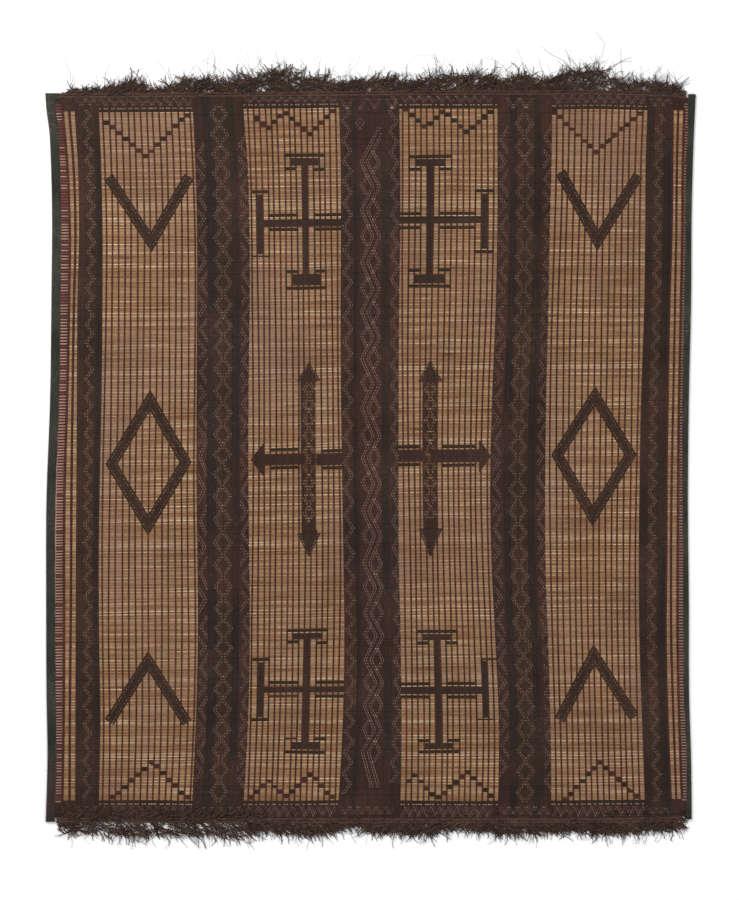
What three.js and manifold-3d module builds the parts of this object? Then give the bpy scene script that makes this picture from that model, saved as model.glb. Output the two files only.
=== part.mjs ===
// A mat of straw reeds laced together by dark leather strips, lying flat on a floor.
// The reeds run along X and the leather strips along Y, with Z up. All sizes are in millimetres.
// The strips gather in five dark bands and two borders, which stand a leather's thickness above
// the straw, as do the woven crosses, lozenges and chevrons. At both ends the strips are twined
// into a rolled edge, from which they hang on as a fringe. A folded cloth binds each side.
import * as THREE from "three";
import { mergeVertices } from "three/addons/utils/BufferGeometryUtils.js";
import Module from "manifold-3d";

const wasm = await Module();
wasm.setup();

// Heights above the floor
const STRAW_FACE = 3.9;
const LEATHER_FACE = 4.6;
const MOTIF_FACE = 4.5;
const MOTIF_ROOT = 2.5;
const RIM_UNDERSIDE = 1.3;

// Widths across the sides
const CLEARANCE = 0.3;
const BINDING_CLOTH = 1.0;
const BINDING_TOP_WIDTH = 22;
const BINDING_UNDER_WIDTH = 18;
const RIM_WIDTH = 22;
const RIM_SLOPE = 8;
const BAND_STEP = 3;

// The bindings' lower and upper ends; the left one is turned over the mat's upper corner
const LEFT_BINDING = { low: -702.5, high: 838, flap: 14 };
const LEFT_END_PIECE = { low: -838, high: -702.8, flap: 0 };
const RIGHT_BINDING = { low: -832, high: 836, flap: 0 };
const CORNER_FLAP_HEIGHT = 16;
const CORNER_FLAP_CUT = 0.5;

// The leather borders at the two ends of the straw, measured inwards from the edge of the weave
const TOP_BORDER = 30;
const BOTTOM_BORDER = 38;
const STRAIGHT_REACH = 770; // up and down from the middle, where the weave's rows lie level

// The sides of the mat: where the folded bindings end, left and right, at each height
const SIDES = [
  { up: -840, left: -744, right: 743 },
  { up: -690, left: -740, right: 741 },
  { up: -558, left: -743, right: 737 },
  { up: -328, left: -743, right: 736 },
  { up: -98, left: -743, right: 734 },
  { up: 132, left: -734, right: 736 },
  { up: 362, left: -731, right: 741 },
  { up: 592, left: -730, right: 743 },
  { up: 753, left: -736, right: 748 },
  { up: 840, left: -745, right: 752 },
];

// The two ends of the weave, where the rolled edges begin
const ENDS = [
  { across: -750, bottom: -826, top: 824 },
  { across: -500, bottom: -828, top: 827 },
  { across: -250, bottom: -829, top: 830 },
  { across: 0, bottom: -830, top: 832 },
  { across: 300, bottom: -830, top: 833 },
  { across: 530, bottom: -829, top: 834 },
  { across: 640, bottom: -827, top: 831 },
  { across: 755, bottom: -822, top: 825 },
];

// The five dark bands: the left and right edge of each one at each height
const BANDS = [
  [
    { up: -800, left: -676, right: -621 },
    { up: -420, left: -674, right: -621 },
    { up: -50, left: -674, right: -620 },
    { up: 362, left: -670, right: -614 },
    { up: 523, left: -666, right: -612 },
    { up: 800, left: -678, right: -621 },
  ],
  [
    { up: -800, left: -410, right: -288 },
    { up: -420, left: -399, right: -277 },
    { up: -50, left: -400, right: -277 },
    { up: 523, left: -400, right: -276 },
    { up: 800, left: -410, right: -289 },
  ],
  [
    { up: -800, left: -72, right: 72 },
    { up: -420, left: -58, right: 76 },
    { up: -50, left: -64, right: 69 },
    { up: 523, left: -66, right: 73 },
    { up: 800, left: -71, right: 71 },
  ],
  [
    { up: -800, left: 294, right: 420 },
    { up: -420, left: 292, right: 414 },
    { up: -50, left: 279, right: 408 },
    { up: 362, left: 291, right: 416 },
    { up: 800, left: 294, right: 422 },
  ],
  [
    { up: -800, left: 634, right: 692 },
    { up: -420, left: 620, right: 682 },
    { up: -50, left: 622, right: 683 },
    { up: 362, left: 629, right: 688 },
    { up: 800, left: 639, right: 695 },
  ],
];

// Armed crosses: the middle, then the reach of each arm to the far side of its end bar.
// side is the way in which the barred arm points, and inward reaches the central band.
const CROSSES = [
  { x: -143, y: 541, side: -1, up: 146, down: 142, outward: 116, inward: 72, sideBar: 145 },
  { x: 141, y: 547, side: 1, up: 140, down: 150, outward: 134, inward: 68, sideBar: 137 },
  { x: -141, y: -533, side: -1, up: 130, down: 139, outward: 116, inward: 75, sideBar: 132 },
  { x: 159, y: -536, side: 1, up: 132, down: 135, outward: 118, inward: 69, sideBar: 132 },
];
const CROSS_STEM = 15;
const CROSS_BAR = 16;
const CROSS_END_BAR = 18;
const CROSS_END_LENGTH = 70;

// Arrow crosses at mid-height: a broad upright and a bar, with arrowheads
const ARROWS = [
  { x: -138, y: -4, side: -1, up: 178, down: 170, outward: 106, inward: 74 },
  { x: 141, y: 4, side: 1, up: 172, down: 168, outward: 114, inward: 68 },
];
const ARROW_UPRIGHT = 31;
const ARROW_BAR = 24;
const ARROW_HEAD_WIDTH = 51;
const ARROW_HEAD_LENGTH = 42;
const ARROW_POINT_WIDTH = 75;
const ARROW_POINT_LENGTH = 26;

// Lozenges and chevrons of broad woven strips; a chevron's rise is negative where it points down
const LOZENGES = [
  { x: -507, y: -13, halfWidth: 100, halfHeight: 167 },
  { x: 517, y: 8, halfWidth: 97, halfHeight: 163 },
];
const CHEVRONS = [
  { x: -502, y: 477, halfWidth: 89, rise: -172 },
  { x: 526, y: 482, halfWidth: 89, rise: -174 },
  { x: -508, y: -443, halfWidth: 90, rise: 172 },
  { x: 519, y: -431, halfWidth: 87, rise: 174 },
];
const STRIP_RUN = 23; // a broad strip's width measured along X

// The rolled edges: a section of two rolls side by side, out from the weave and up from the floor
const ROLL_WIDTH = 12.5;
const ROLL_SECTION = [
  { out: CLEARANCE, up: 0 },
  { out: ROLL_WIDTH, up: 0 },
  { out: ROLL_WIDTH + 0.6, up: 2.4 },
  { out: 11.1, up: 5.2 },
  { out: 9.3, up: 6.2 },
  { out: 7.9, up: 5.5 },
  { out: 6.3, up: 4.6 },
  { out: 4.7, up: 5.5 },
  { out: 2.6, up: 6.2 },
  { out: CLEARANCE, up: 4.4 },
];
const ROLL_END_GAP = 2;

// The fringe's strands lie on the floor, thick at the root and thin at the tip
const STRAND_ROOT = 5.2;
const STRAND_TIP = 1.4;
const STRAND_RISE = 1.5; // a three-sided section's height for its radius
const STRAND_FLATNESS = 0.6;
const STRAND_STEPS = 3;
const ROOT_DEPTH = 5;
const ROOT_LIFT = 1;
const FRINGES = [
  { name: "top_fringe", count: 138, shortest: 26, swell: 16, wisp: 68, bed: 0.4 },
  { name: "bottom_fringe", count: 132, shortest: 24, swell: 9, wisp: 45, bed: 2.1 },
];
const WISP_EVERY = 6;
const FIRST_WISP = 3;
const END_STRAND_INSET = 9;

// How the strands sway from one to the next: swells of the lean and the bend in degrees, and of the
// length as a share of the swell, each with the number of strands for one radian
const LEAN_SWELLS = [{ size: 16, pace: 8.4 }, { size: 8, pace: 5.9 }];
const BEND_SWELLS = [{ size: 22, pace: 9.3 }];
const LENGTH_SWELLS = [{ size: 0.28, pace: 7.1 }, { size: 0.22, pace: 0.59 }];
const WISP_SWELLS = [{ size: 0.45, pace: 1.1 }];
const WISP_MEAN = 0.55;

const STRAW = { color: 0xa5835c, roughness: 0.75, metalness: 0 };
const LEATHER = { color: 0x3a2a25, roughness: 0.65, metalness: 0 };
const GREEN_CLOTH = { color: 0x343a36, roughness: 0.9, metalness: 0 };
const PURPLE_CLOTH = { color: 0x40302f, roughness: 0.9, metalness: 0 };

// The value of a table's column where its key column has the given value.
function between(table, key, column, value) {
  const last = table.length - 2;
  const found = table.findIndex((row, i) => i <= last && value <= table[i + 1][key]);
  const i = found < 0 ? last : found;
  const share = (value - table[i][key]) / (table[i + 1][key] - table[i][key]);
  return THREE.MathUtils.lerp(table[i][column], table[i + 1][column], THREE.MathUtils.clamp(share, 0, 1));
}

const leftSide = (y) => between(SIDES, "up", "left", y);
const rightSide = (y) => between(SIDES, "up", "right", y);
const topEnd = (x) => between(ENDS, "across", "top", x);
const bottomEnd = (x) => between(ENDS, "across", "bottom", x);

// Changes every point of a geometry in place.
function movePoints(geometry, change) {
  const position = geometry.getAttribute("position");
  const point = new THREE.Vector3();
  for (let i = 0; i < position.count; i++) {
    point.fromBufferAttribute(position, i);
    change(point);
    position.setXYZ(i, point.x, point.y, point.z);
  }
  return geometry;
}

function toSolid(geometry) {
  const bare = geometry.clone();
  bare.deleteAttribute("normal");
  bare.deleteAttribute("uv");
  const merged = mergeVertices(bare, 1e-4);
  return new wasm.Manifold(
    new wasm.Mesh({
      numProp: 3,
      vertProperties: new Float32Array(merged.getAttribute("position").array),
      triVerts: new Uint32Array(merged.index.array),
    }),
  );
}

function toGeometry(solid) {
  const mesh = solid.getMesh();
  const geometry = new THREE.BufferGeometry();
  geometry.setAttribute("position", new THREE.BufferAttribute(mesh.vertProperties, 3));
  geometry.setIndex(new THREE.BufferAttribute(mesh.triVerts, 1));
  geometry.computeVertexNormals();
  return geometry;
}

function joined(geometries) {
  const [first, ...others] = geometries.map(toSolid);
  return toGeometry(others.reduce((whole, solid) => whole.add(solid), first));
}

function named(name, geometry, finish) {
  const mesh = new THREE.Mesh(geometry, new THREE.MeshStandardMaterial(finish));
  mesh.name = name;
  return mesh;
}

// The columns of the woven slab's grid. Each one gives its X at a height, and how far the slab's
// face and underside stand off the floor there.
function slabColumns() {
  const inside = BINDING_CLOTH + CLEARANCE;
  const rim = (x) => ({ x, face: LEATHER_FACE, under: RIM_UNDERSIDE });
  const straw = (x) => ({ x, face: STRAW_FACE, under: 0 });
  const leather = (x) => ({ x, face: LEATHER_FACE, under: 0 });
  const bands = BANDS.flatMap((band) => [
    straw((y) => between(band, "up", "left", y)),
    leather((y) => between(band, "up", "left", y) + BAND_STEP),
    leather((y) => between(band, "up", "right", y) - BAND_STEP),
    straw((y) => between(band, "up", "right", y)),
  ]);
  return [
    rim((y) => leftSide(y) + inside),
    rim((y) => leftSide(y) + RIM_WIDTH),
    straw((y) => leftSide(y) + RIM_WIDTH + RIM_SLOPE),
    ...bands,
    straw((y) => rightSide(y) - RIM_WIDTH - RIM_SLOPE),
    rim((y) => rightSide(y) - RIM_WIDTH),
    rim((y) => rightSide(y) - inside),
  ];
}

// The rows of the grid, from the bottom end to the top one. Each one gives its Y at an X.
function slabRows() {
  const heights = new Set([...SIDES, ...BANDS.flat()].map((row) => row.up));
  const straight = [...heights].filter((up) => Math.abs(up) < STRAIGHT_REACH).sort((a, b) => a - b);
  return [
    { y: bottomEnd, border: true },
    { y: (x) => bottomEnd(x) + BOTTOM_BORDER - BAND_STEP, border: true },
    { y: (x) => bottomEnd(x) + BOTTOM_BORDER, border: false },
    ...straight.map((y) => ({ y: () => y, border: false })),
    { y: (x) => topEnd(x) - TOP_BORDER, border: false },
    { y: (x) => topEnd(x) - TOP_BORDER + BAND_STEP, border: true },
    { y: topEnd, border: true },
  ];
}

// The woven slab: a block of one cell for each step of the grid, drawn out to the mat's outline.
function wovenSlab() {
  const columns = slabColumns();
  const rows = slabRows();
  const block = new THREE.BoxGeometry(1, 1, 1, columns.length - 1, rows.length - 1, 1);
  return movePoints(block, (point) => {
    const column = columns[Math.round((point.x + 0.5) * (columns.length - 1))];
    const row = rows[Math.round((point.y + 0.5) * (rows.length - 1))];
    const roughY = row.y(column.x(0));
    const x = column.x(roughY);
    const onRim = column.under > 0;
    const face = row.border && !onRim ? LEATHER_FACE : column.face;
    point.set(x, row.y(x), point.z > 0 ? face : column.under);
  });
}

// A flat piece of woven leather from its outline, on the straw.
function plate(outline, hole) {
  const shape = new THREE.Shape(outline.map(([x, y]) => new THREE.Vector2(x, y)));
  if (hole) shape.holes.push(new THREE.Path(hole.map(([x, y]) => new THREE.Vector2(x, y))));
  const depth = MOTIF_FACE - MOTIF_ROOT;
  return new THREE.ExtrudeGeometry(shape, { depth, bevelEnabled: false }).translate(0, 0, MOTIF_ROOT);
}

function bar(x1, x2, y1, y2) {
  return plate([[x1, y1], [x2, y1], [x2, y2], [x1, y2]]);
}

// An arm that may point either way keeps its corners in order.
function armAcross(x, side, from, to, y1, y2) {
  return bar(Math.min(x + side * from, x + side * to), Math.max(x + side * from, x + side * to), y1, y2);
}

function cross({ x, y, side, up, down, outward, inward, sideBar }) {
  const half = CROSS_END_LENGTH / 2;
  const stem = CROSS_STEM / 2;
  const thick = CROSS_BAR / 2;
  return [
    bar(x - stem, x + stem, y - down + 1, y + up - 1),
    bar(x - half, x + half, y + up - CROSS_END_BAR, y + up),
    bar(x - half, x + half, y - down, y - down + CROSS_END_BAR),
    armAcross(x, side, -inward, outward - 1, y - thick, y + thick),
    armAcross(x, side, outward - CROSS_STEM, outward, y - sideBar / 2, y + sideBar / 2),
  ];
}

function arrowCross({ x, y, side, up, down, outward, inward }) {
  const half = ARROW_UPRIGHT / 2;
  const head = ARROW_HEAD_WIDTH / 2;
  const point = ARROW_POINT_WIDTH / 2;
  const tip = x + side * (outward + ARROW_POINT_LENGTH);
  const base = x + side * (outward - 1);
  const corners = [[base, y - point], [tip, y], [base, y + point]];
  return [
    bar(x - half, x + half, y - down - 1, y + up + 1),
    armAcross(x, side, -inward, outward, y - ARROW_BAR / 2, y + ARROW_BAR / 2),
    plate([[x - head, y + up], [x + head, y + up], [x, y + up + ARROW_HEAD_LENGTH]]),
    plate([[x, y - down - ARROW_HEAD_LENGTH], [x + head, y - down], [x - head, y - down]]),
    plate(side > 0 ? corners : corners.reverse()),
  ];
}

function lozenge({ x, y, halfWidth, halfHeight }) {
  const ring = (wide, high) => [[x - wide, y], [x, y - high], [x + wide, y], [x, y + high]];
  const inner = halfWidth - STRIP_RUN;
  return plate(ring(halfWidth, halfHeight), ring(inner, (halfHeight * inner) / halfWidth));
}

function chevron({ x, y, halfWidth, rise }) {
  const inner = rise * (1 - STRIP_RUN / halfWidth);
  const outline = [
    [x, y + rise / 2 - (rise - inner)],
    [x - halfWidth + STRIP_RUN, y - rise / 2],
    [x - halfWidth, y - rise / 2],
    [x, y + rise / 2],
    [x + halfWidth, y - rise / 2],
    [x + halfWidth - STRIP_RUN, y - rise / 2],
  ];
  return plate(outline);
}

function wovenMat() {
  const motifs = [
    ...CROSSES.flatMap(cross),
    ...ARROWS.flatMap(arrowCross),
    ...LOZENGES.map(lozenge),
    ...CHEVRONS.map(chevron),
  ];
  return named("woven_mat", joined([wovenSlab(), ...motifs]), STRAW);
}

// The heights at which a folded cloth bends with the mat's side, from its lower to its upper end.
// Over the topmost stretch of a flapped one the face reaches further in.
function bindingRows(low, high, flap) {
  const bends = SIDES.map((row) => row.up).filter((up) => up > low && up < high - CORNER_FLAP_HEIGHT);
  const rows = [low, ...bends].map((y) => ({ y, reach: 0 }));
  if (flap > 0) {
    const turn = high - CORNER_FLAP_HEIGHT;
    rows.push({ y: turn, reach: 0 }, { y: turn + CORNER_FLAP_CUT, reach: flap });
  }
  return [...rows, { y: high, reach: flap }];
}

// A cloth folded over a side, from one height to another. Its section is a U lying on its side,
// drawn with the fold at X 0 and the slot open towards the mat.
function binding(name, fold, side, { low, high, flap }, finish) {
  const top = LEATHER_FACE + CLEARANCE;
  const section = [
    [0, 0],
    [BINDING_UNDER_WIDTH, 0],
    [BINDING_UNDER_WIDTH, BINDING_CLOTH],
    [BINDING_CLOTH, BINDING_CLOTH],
    [BINDING_CLOTH, top],
    [BINDING_TOP_WIDTH, top],
    [BINDING_TOP_WIDTH, top + BINDING_CLOTH],
    [0, top + BINDING_CLOTH],
  ];
  const rows = bindingRows(low, high, flap);
  const steps = rows.length - 1;
  const shape = new THREE.Shape(section.map(([x, z]) => new THREE.Vector2(x, z)));
  const sheet = new THREE.ExtrudeGeometry(shape, { depth: steps, steps, bevelEnabled: false });
  const geometry = movePoints(sheet, (point) => {
    const { y, reach } = rows[Math.round(point.z)];
    const inwards = point.x > BINDING_UNDER_WIDTH ? point.x + reach : point.x;
    point.set(fold(y) + side * inwards, y, point.y);
  });
  // Laying the section down mirrors it, so on the left side its faces are turned round again.
  if (side > 0) flipFaces(geometry);
  return named(name, geometry, finish);
}

function flipFaces(geometry) {
  const position = geometry.getAttribute("position");
  const a = new THREE.Vector3();
  const b = new THREE.Vector3();
  for (let i = 0; i < position.count; i += 3) {
    a.fromBufferAttribute(position, i);
    b.fromBufferAttribute(position, i + 1);
    position.setXYZ(i, b.x, b.y, b.z);
    position.setXYZ(i + 1, a.x, a.y, a.z);
  }
}

// The columns' places along one end of the weave, where the end may bend.
function endBends(end, from, to) {
  const places = slabColumns().map((column) => column.x(end(column.x(0))));
  return [from, ...places.filter((x) => x > from && x < to), to];
}

// The rolled edge beside one end of the weave, from one X to another.
function rolledEdge(end, outward, from, to) {
  const bends = endBends(end, from, to);
  const shape = new THREE.Shape(ROLL_SECTION.map(({ out, up }) => new THREE.Vector2(out, up)));
  const steps = bends.length - 1;
  const straight = new THREE.ExtrudeGeometry(shape, { depth: steps, steps, bevelEnabled: false });
  const roll = movePoints(straight, (point) => {
    const x = bends[Math.round(point.z)];
    point.set(x, end(x) + outward * point.x, point.y);
  });
  if (outward < 0) flipFaces(roll);
  return roll;
}

// One strand, three-sided, flat side down, that leaves its root at an angle and bends as it goes.
function strand(rootX, rootY, outward, length, lean, bend) {
  const cone = new THREE.CylinderGeometry(
    STRAND_TIP / Math.sqrt(3),
    STRAND_ROOT / Math.sqrt(3),
    1,
    3,
    STRAND_STEPS,
  );
  return movePoints(cone, (point) => {
    const share = point.y + 0.5;
    const radius = THREE.MathUtils.lerp(STRAND_ROOT, STRAND_TIP, share) / Math.sqrt(3);
    const angle = lean + (bend * share) / 2;
    const heading = lean + bend * share;
    const alongX = Math.sin(angle) * length * share;
    const alongY = Math.cos(angle) * length * share;
    const aside = point.x * outward;
    const isBase = point.z < 0;
    const lift = share < 0.01 ? ROOT_LIFT : 0;
    point.set(
      rootX + alongX + Math.cos(heading) * aside,
      rootY + outward * (alongY - Math.sin(heading) * aside),
      lift + (isBase ? 0 : radius * STRAND_RISE * STRAND_FLATNESS),
    );
  });
}

function swelling(swells, i, bed) {
  return swells.reduce((sum, { size, pace }) => sum + size * Math.sin(i / pace + bed), 0);
}

// A rolled edge with its strands, side by side, leaning this way and that in slow swells.
function fringe({ name, count, shortest, swell, wisp, bed }, end, outward, from, to) {
  const strands = [];
  for (let i = 0; i < count; i++) {
    const share = i / (count - 1);
    const x = THREE.MathUtils.lerp(from + END_STRAND_INSET, to - END_STRAND_INSET, share);
    const lean = THREE.MathUtils.degToRad(swelling(LEAN_SWELLS, i, bed));
    const bend = THREE.MathUtils.degToRad(swelling(BEND_SWELLS, i, 2 * bed));
    const isWisp = i % WISP_EVERY === FIRST_WISP;
    const extra = isWisp ? wisp * (WISP_MEAN + swelling(WISP_SWELLS, i, 0)) : 0;
    const length = shortest + swell * (0.5 + swelling(LENGTH_SWELLS, i, bed)) + extra;
    const rootY = end(x) + outward * (ROLL_WIDTH - ROOT_DEPTH);
    strands.push(strand(x, rootY, outward, length + ROOT_DEPTH, lean, bend));
  }
  return named(name, joined([rolledEdge(end, outward, from, to), ...strands]), LEATHER);
}

// Between the bindings the rolled edges run the whole width.
const topFrom = leftSide(LEFT_BINDING.high) + BINDING_TOP_WIDTH + LEFT_BINDING.flap + ROLL_END_GAP;
const topTo = rightSide(RIGHT_BINDING.high) - BINDING_TOP_WIDTH - ROLL_END_GAP;
const bottomFrom = leftSide(LEFT_END_PIECE.low) + BINDING_TOP_WIDTH + ROLL_END_GAP;
const bottomTo = rightSide(RIGHT_BINDING.low) - BINDING_TOP_WIDTH - ROLL_END_GAP;

const mat = new THREE.Group();
mat.add(
  wovenMat(),
  binding("left_binding", leftSide, 1, LEFT_BINDING, GREEN_CLOTH),
  binding("left_binding_end", leftSide, 1, LEFT_END_PIECE, PURPLE_CLOTH),
  binding("right_binding", rightSide, -1, RIGHT_BINDING, GREEN_CLOTH),
  fringe(FRINGES[0], topEnd, 1, topFrom, topTo),
  fringe(FRINGES[1], bottomEnd, -1, bottomFrom, bottomTo),
);

// The origin is at the middle of everything, on the floor.
const whole = new THREE.Box3().setFromObject(mat);
const middle = whole.getCenter(new THREE.Vector3());
mat.position.set(-middle.x, -middle.y, -whole.min.z);

export default mat;
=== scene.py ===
"""Dresses a mat of straw reeds, laced with dark leather strips, that lies flat on a pale floor.

The mat is drawn from a weaver's chart. One unit of the chart is 2.3 mm, X runs to the right and Y
downwards, and every sub-assembly reads its places from that chart: the bed of reeds, the leather
lacing over it, the cloth bindings, the rolled edges and the fringes.
"""

import logging
import math
from dataclasses import dataclass, field
from enum import Enum

import bpy
import numpy as np
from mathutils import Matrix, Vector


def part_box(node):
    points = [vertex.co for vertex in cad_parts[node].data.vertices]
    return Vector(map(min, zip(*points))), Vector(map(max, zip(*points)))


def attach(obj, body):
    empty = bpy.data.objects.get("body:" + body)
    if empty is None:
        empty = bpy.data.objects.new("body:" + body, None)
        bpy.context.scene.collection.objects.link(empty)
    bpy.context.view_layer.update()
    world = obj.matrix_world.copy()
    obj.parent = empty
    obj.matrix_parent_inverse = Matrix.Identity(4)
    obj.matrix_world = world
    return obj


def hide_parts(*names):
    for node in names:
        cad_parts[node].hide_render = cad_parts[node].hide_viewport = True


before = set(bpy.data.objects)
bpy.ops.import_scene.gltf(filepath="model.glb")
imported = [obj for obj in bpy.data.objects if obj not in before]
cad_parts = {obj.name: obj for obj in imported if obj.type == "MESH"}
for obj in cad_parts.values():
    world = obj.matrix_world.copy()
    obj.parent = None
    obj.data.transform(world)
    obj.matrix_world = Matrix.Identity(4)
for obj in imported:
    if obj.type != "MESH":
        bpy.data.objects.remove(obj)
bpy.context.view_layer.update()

LOG = logging.getLogger("mat")

# One unit of the chart in millimetres, the count of reeds, and where their rows begin and end
UNIT = 2.3
PAIRS = 252
REEDS = 2 * PAIRS
WEAVE_TOP = 96.5
WEAVE_BOTTOM = 818.0

Array = np.ndarray
Material = bpy.types.Material
Object = bpy.types.Object
Table = tuple[tuple[float, float], ...]
Socket = bpy.types.NodeSocket
Part = tuple[Array, Array, Array, Array]

# The heights of the chart at which most upright lines are read
LEVELS = (97, 110, 160, 230, 300, 400, 480, 560, 640, 720, 800, 818)


def post(*across: float, at: tuple[float, ...] = LEVELS) -> Table:
    """Pairs each X of an upright line with the height at which it is read."""
    return tuple(zip(at, across))


# The upright lines of the mat from left to right
POSTS: dict[str, Table] = {
    "left_edge": post(
        45, 46.3, 49, 50.6, 51.7, 51.2, 49.9, 46.3, 46, 46.4, 47.3, 45.5,
        at=(92, 110, 130, 160, 200, 300, 400, 500, 600, 700, 757, 822),
    ),
    "left_ladder": post(
        53.8, 55, 59.2, 61.2, 60.3, 58.6, 56.6, 55.8, 55, 54.2, 54,
        at=(97, 110, 160, 230, 300, 400, 480, 640, 720, 800, 818),
    ),
    "left_margin": post(
        61.2, 62, 66.4, 68.8, 67.8, 66.2, 64.3, 63, 61.4, 61,
        at=(97, 110, 160, 230, 300, 400, 480, 640, 800, 818),
    ),
    "band_1": post(
        74, 74.2, 77.4, 79.4, 78, 76.8, 76, 75.8, 75, 75,
        at=(97, 110, 160, 230, 300, 400, 480, 640, 800, 818),
    ),
    "panel_1": post(98.6, 99, 101.3, 102.8, 102.3, 101.2, 99.8, 98.8, 98.9, 100.2, 99.2, 99),
    "panel_1_first": post(
        102, 104.6, 106.1, 105.7, 104.6, 103.2, 102.2, 102.3, 103.6, 102.4,
        at=(97, 160, 230, 300, 400, 480, 560, 640, 720, 818),
    ),
    "panel_1_last": post(
        189.4, 192.4, 194.4, 194.9, 194.7, 194.1, 194.7, 195.2, 193.8, 189.4,
        at=(97, 160, 230, 300, 400, 480, 560, 640, 720, 818),
    ),
    "band_2": post(191.8, 192.6, 194.8, 196.8, 197.3, 197.1, 196.5, 197.1, 197.6, 196.2, 192.6, 191.8),
    "panel_2": post(243, 243.5, 247, 248.9, 249.4, 248.9, 248.6, 248.9, 249.2, 248, 243.8, 242.5),
    "panel_2_first": post(247, 250, 252.4, 252.2, 251, 247, at=(97, 160, 300, 605, 720, 818)),
    "panel_2_last": post(335.2, 336, 338, 339.8, 336.2, 335, at=(97, 145, 340, 605, 773, 818)),
    "band_3": post(338.8, 339, 340.4, 341, 341, 341.2, 341.8, 343, 344.4, 343.2, 338.8, 337.6),
    "panel_3": post(399, 399, 399.6, 400, 399.2, 398.4, 398.2, 399, 401, 401.4, 399.9, 399.2),
    "panel_3_first": post(402.6, 403, 402, 405, 406.2, 405.4, at=(97, 145, 340, 605, 773, 818)),
    "panel_3_last": post(
        493.4, 493.8, 492.2, 488.4, 486.8, 488.2, 491.8, 494.7, 493.6,
        at=(97, 160, 300, 400, 480, 560, 640, 720, 818),
    ),
    "band_4": post(497, 497, 497.3, 497.5, 496, 492, 490.3, 491.8, 495.4, 498.5, 497.6, 497),
    "panel_4": post(551.7, 551.7, 551.5, 550.1, 548.7, 545.9, 545.1, 545.5, 547.9, 550.1, 551.1, 551.1),
    "panel_4_first": post(557.2, 556.8, 551, 551.5, 555.8, 556.2, at=(97, 145, 340, 605, 773, 818)),
    "panel_4_last": post(643.6, 641.8, 639, 635.5, 638.8, 640.6, at=(97, 145, 340, 605, 773, 818)),
    "band_5": post(647.8, 647.6, 646, 645, 643.8, 641, 640, 639.1, 639.3, 641.9, 644.8, 645.4),
    "right_margin": post(672, 671.8, 671.5, 671.3, 669.6, 667.4, 665.8, 665.6, 665.3, 667.4, 670.4, 671),
    "right_ladder": post(684.8, 684.4, 682.6, 681.6, 680.4, 679, 678.2, 677.3, 677, 678.8, 682, 683),
    "right_binding": post(
        688, 687.8, 686.3, 685.4, 684.9, 682.5, 682.3, 683.1, 683.3, 684, 686, 686.6,
        at=(97, 120, 160, 200, 250, 400, 480, 560, 640, 700, 738, 818),
    ),
    "right_edge": post(
        696, 694.2, 692, 691.2, 689, 688.1, 689, 689.4, 691.2, 692,
        at=(92, 130, 200, 300, 400, 500, 600, 700, 757, 822),
    ),
}

# How far the rows stray from the level, at each of these heights and places across the mat
DRIFT_LEVELS = (96.5, 222.3, 249.5, 459.3, 648.0, 689.4, 804.6, 818.0)
DRIFT_PLACES = (46, 148, 250, 307, 430, 594, 645, 695)
DRIFT = (
    (2.0, 1.3, 0.5, 0.0, -1.0, -1.7, -0.5, 2.0),
    (1.6, 1.0, 0.4, 0.0, -2.4, -1.4, -1.3, -1.0),
    (1.4, 0.8, 0.2, 0.0, -2.5, -1.5, -1.5, -1.5),
    (6.0, 3.7, 1.3, 0.0, -3.5, -5.3, -6.0, -6.4),
    (3.0, 2.0, 0.8, 0.0, -2.0, -3.0, -3.2, -3.4),
    (3.0, 2.2, 0.7, 0.0, -0.8, -1.8, -2.0, -2.0),
    (0.0, -0.3, -0.1, 0.0, 0.0, -0.1, -1.0, -2.4),
    (-0.5, -0.5, 0.0, 0.0, 0.3, 0.0, -0.8, -2.4),
)

# Heights above the floor in millimetres, for a pair of reeds: groove, first, groove, second
REED_TOPS = (1.7, 3.45, 2.3, 3.2)
LEATHER_TOPS = (3.6, 4.35, 3.85, 4.2)

# How high the grooves of the underside are, and how far the weave lifts over the folded bindings
REED_UNDERSIDE = 0.8
RIM_LIFT = 0.9

# The width of a leather strip, the most pieces into which a line cuts it, and the bottom border's reeds
STRIP = 1.6
PIECES = 3
BOTTOM_DEPTH = 12


def flow(table: Table, at: Array) -> Array:
    """Reads a smooth curve through the pairs of a table.

    Args:
        table: Pairs of place and value, in rising order of place.
        at: The places to read.

    Returns:
        The value at each place, held level beyond the table's ends.
    """
    knots = np.array([pair[0] for pair in table], float)
    values = np.array([pair[1] for pair in table], float)
    slopes = np.gradient(values, knots)
    at = np.clip(at, knots[0], knots[-1])
    i = np.clip(np.searchsorted(knots, at) - 1, 0, len(knots) - 2)
    width = knots[i + 1] - knots[i]
    t = (at - knots[i]) / width
    rest = 1 - t
    start = values[i] * (1 + 2 * t) * rest**2 + slopes[i] * width * t * rest**2
    end = values[i + 1] * (3 - 2 * t) * t**2 - slopes[i + 1] * width * rest * t**2
    return start + end


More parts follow.
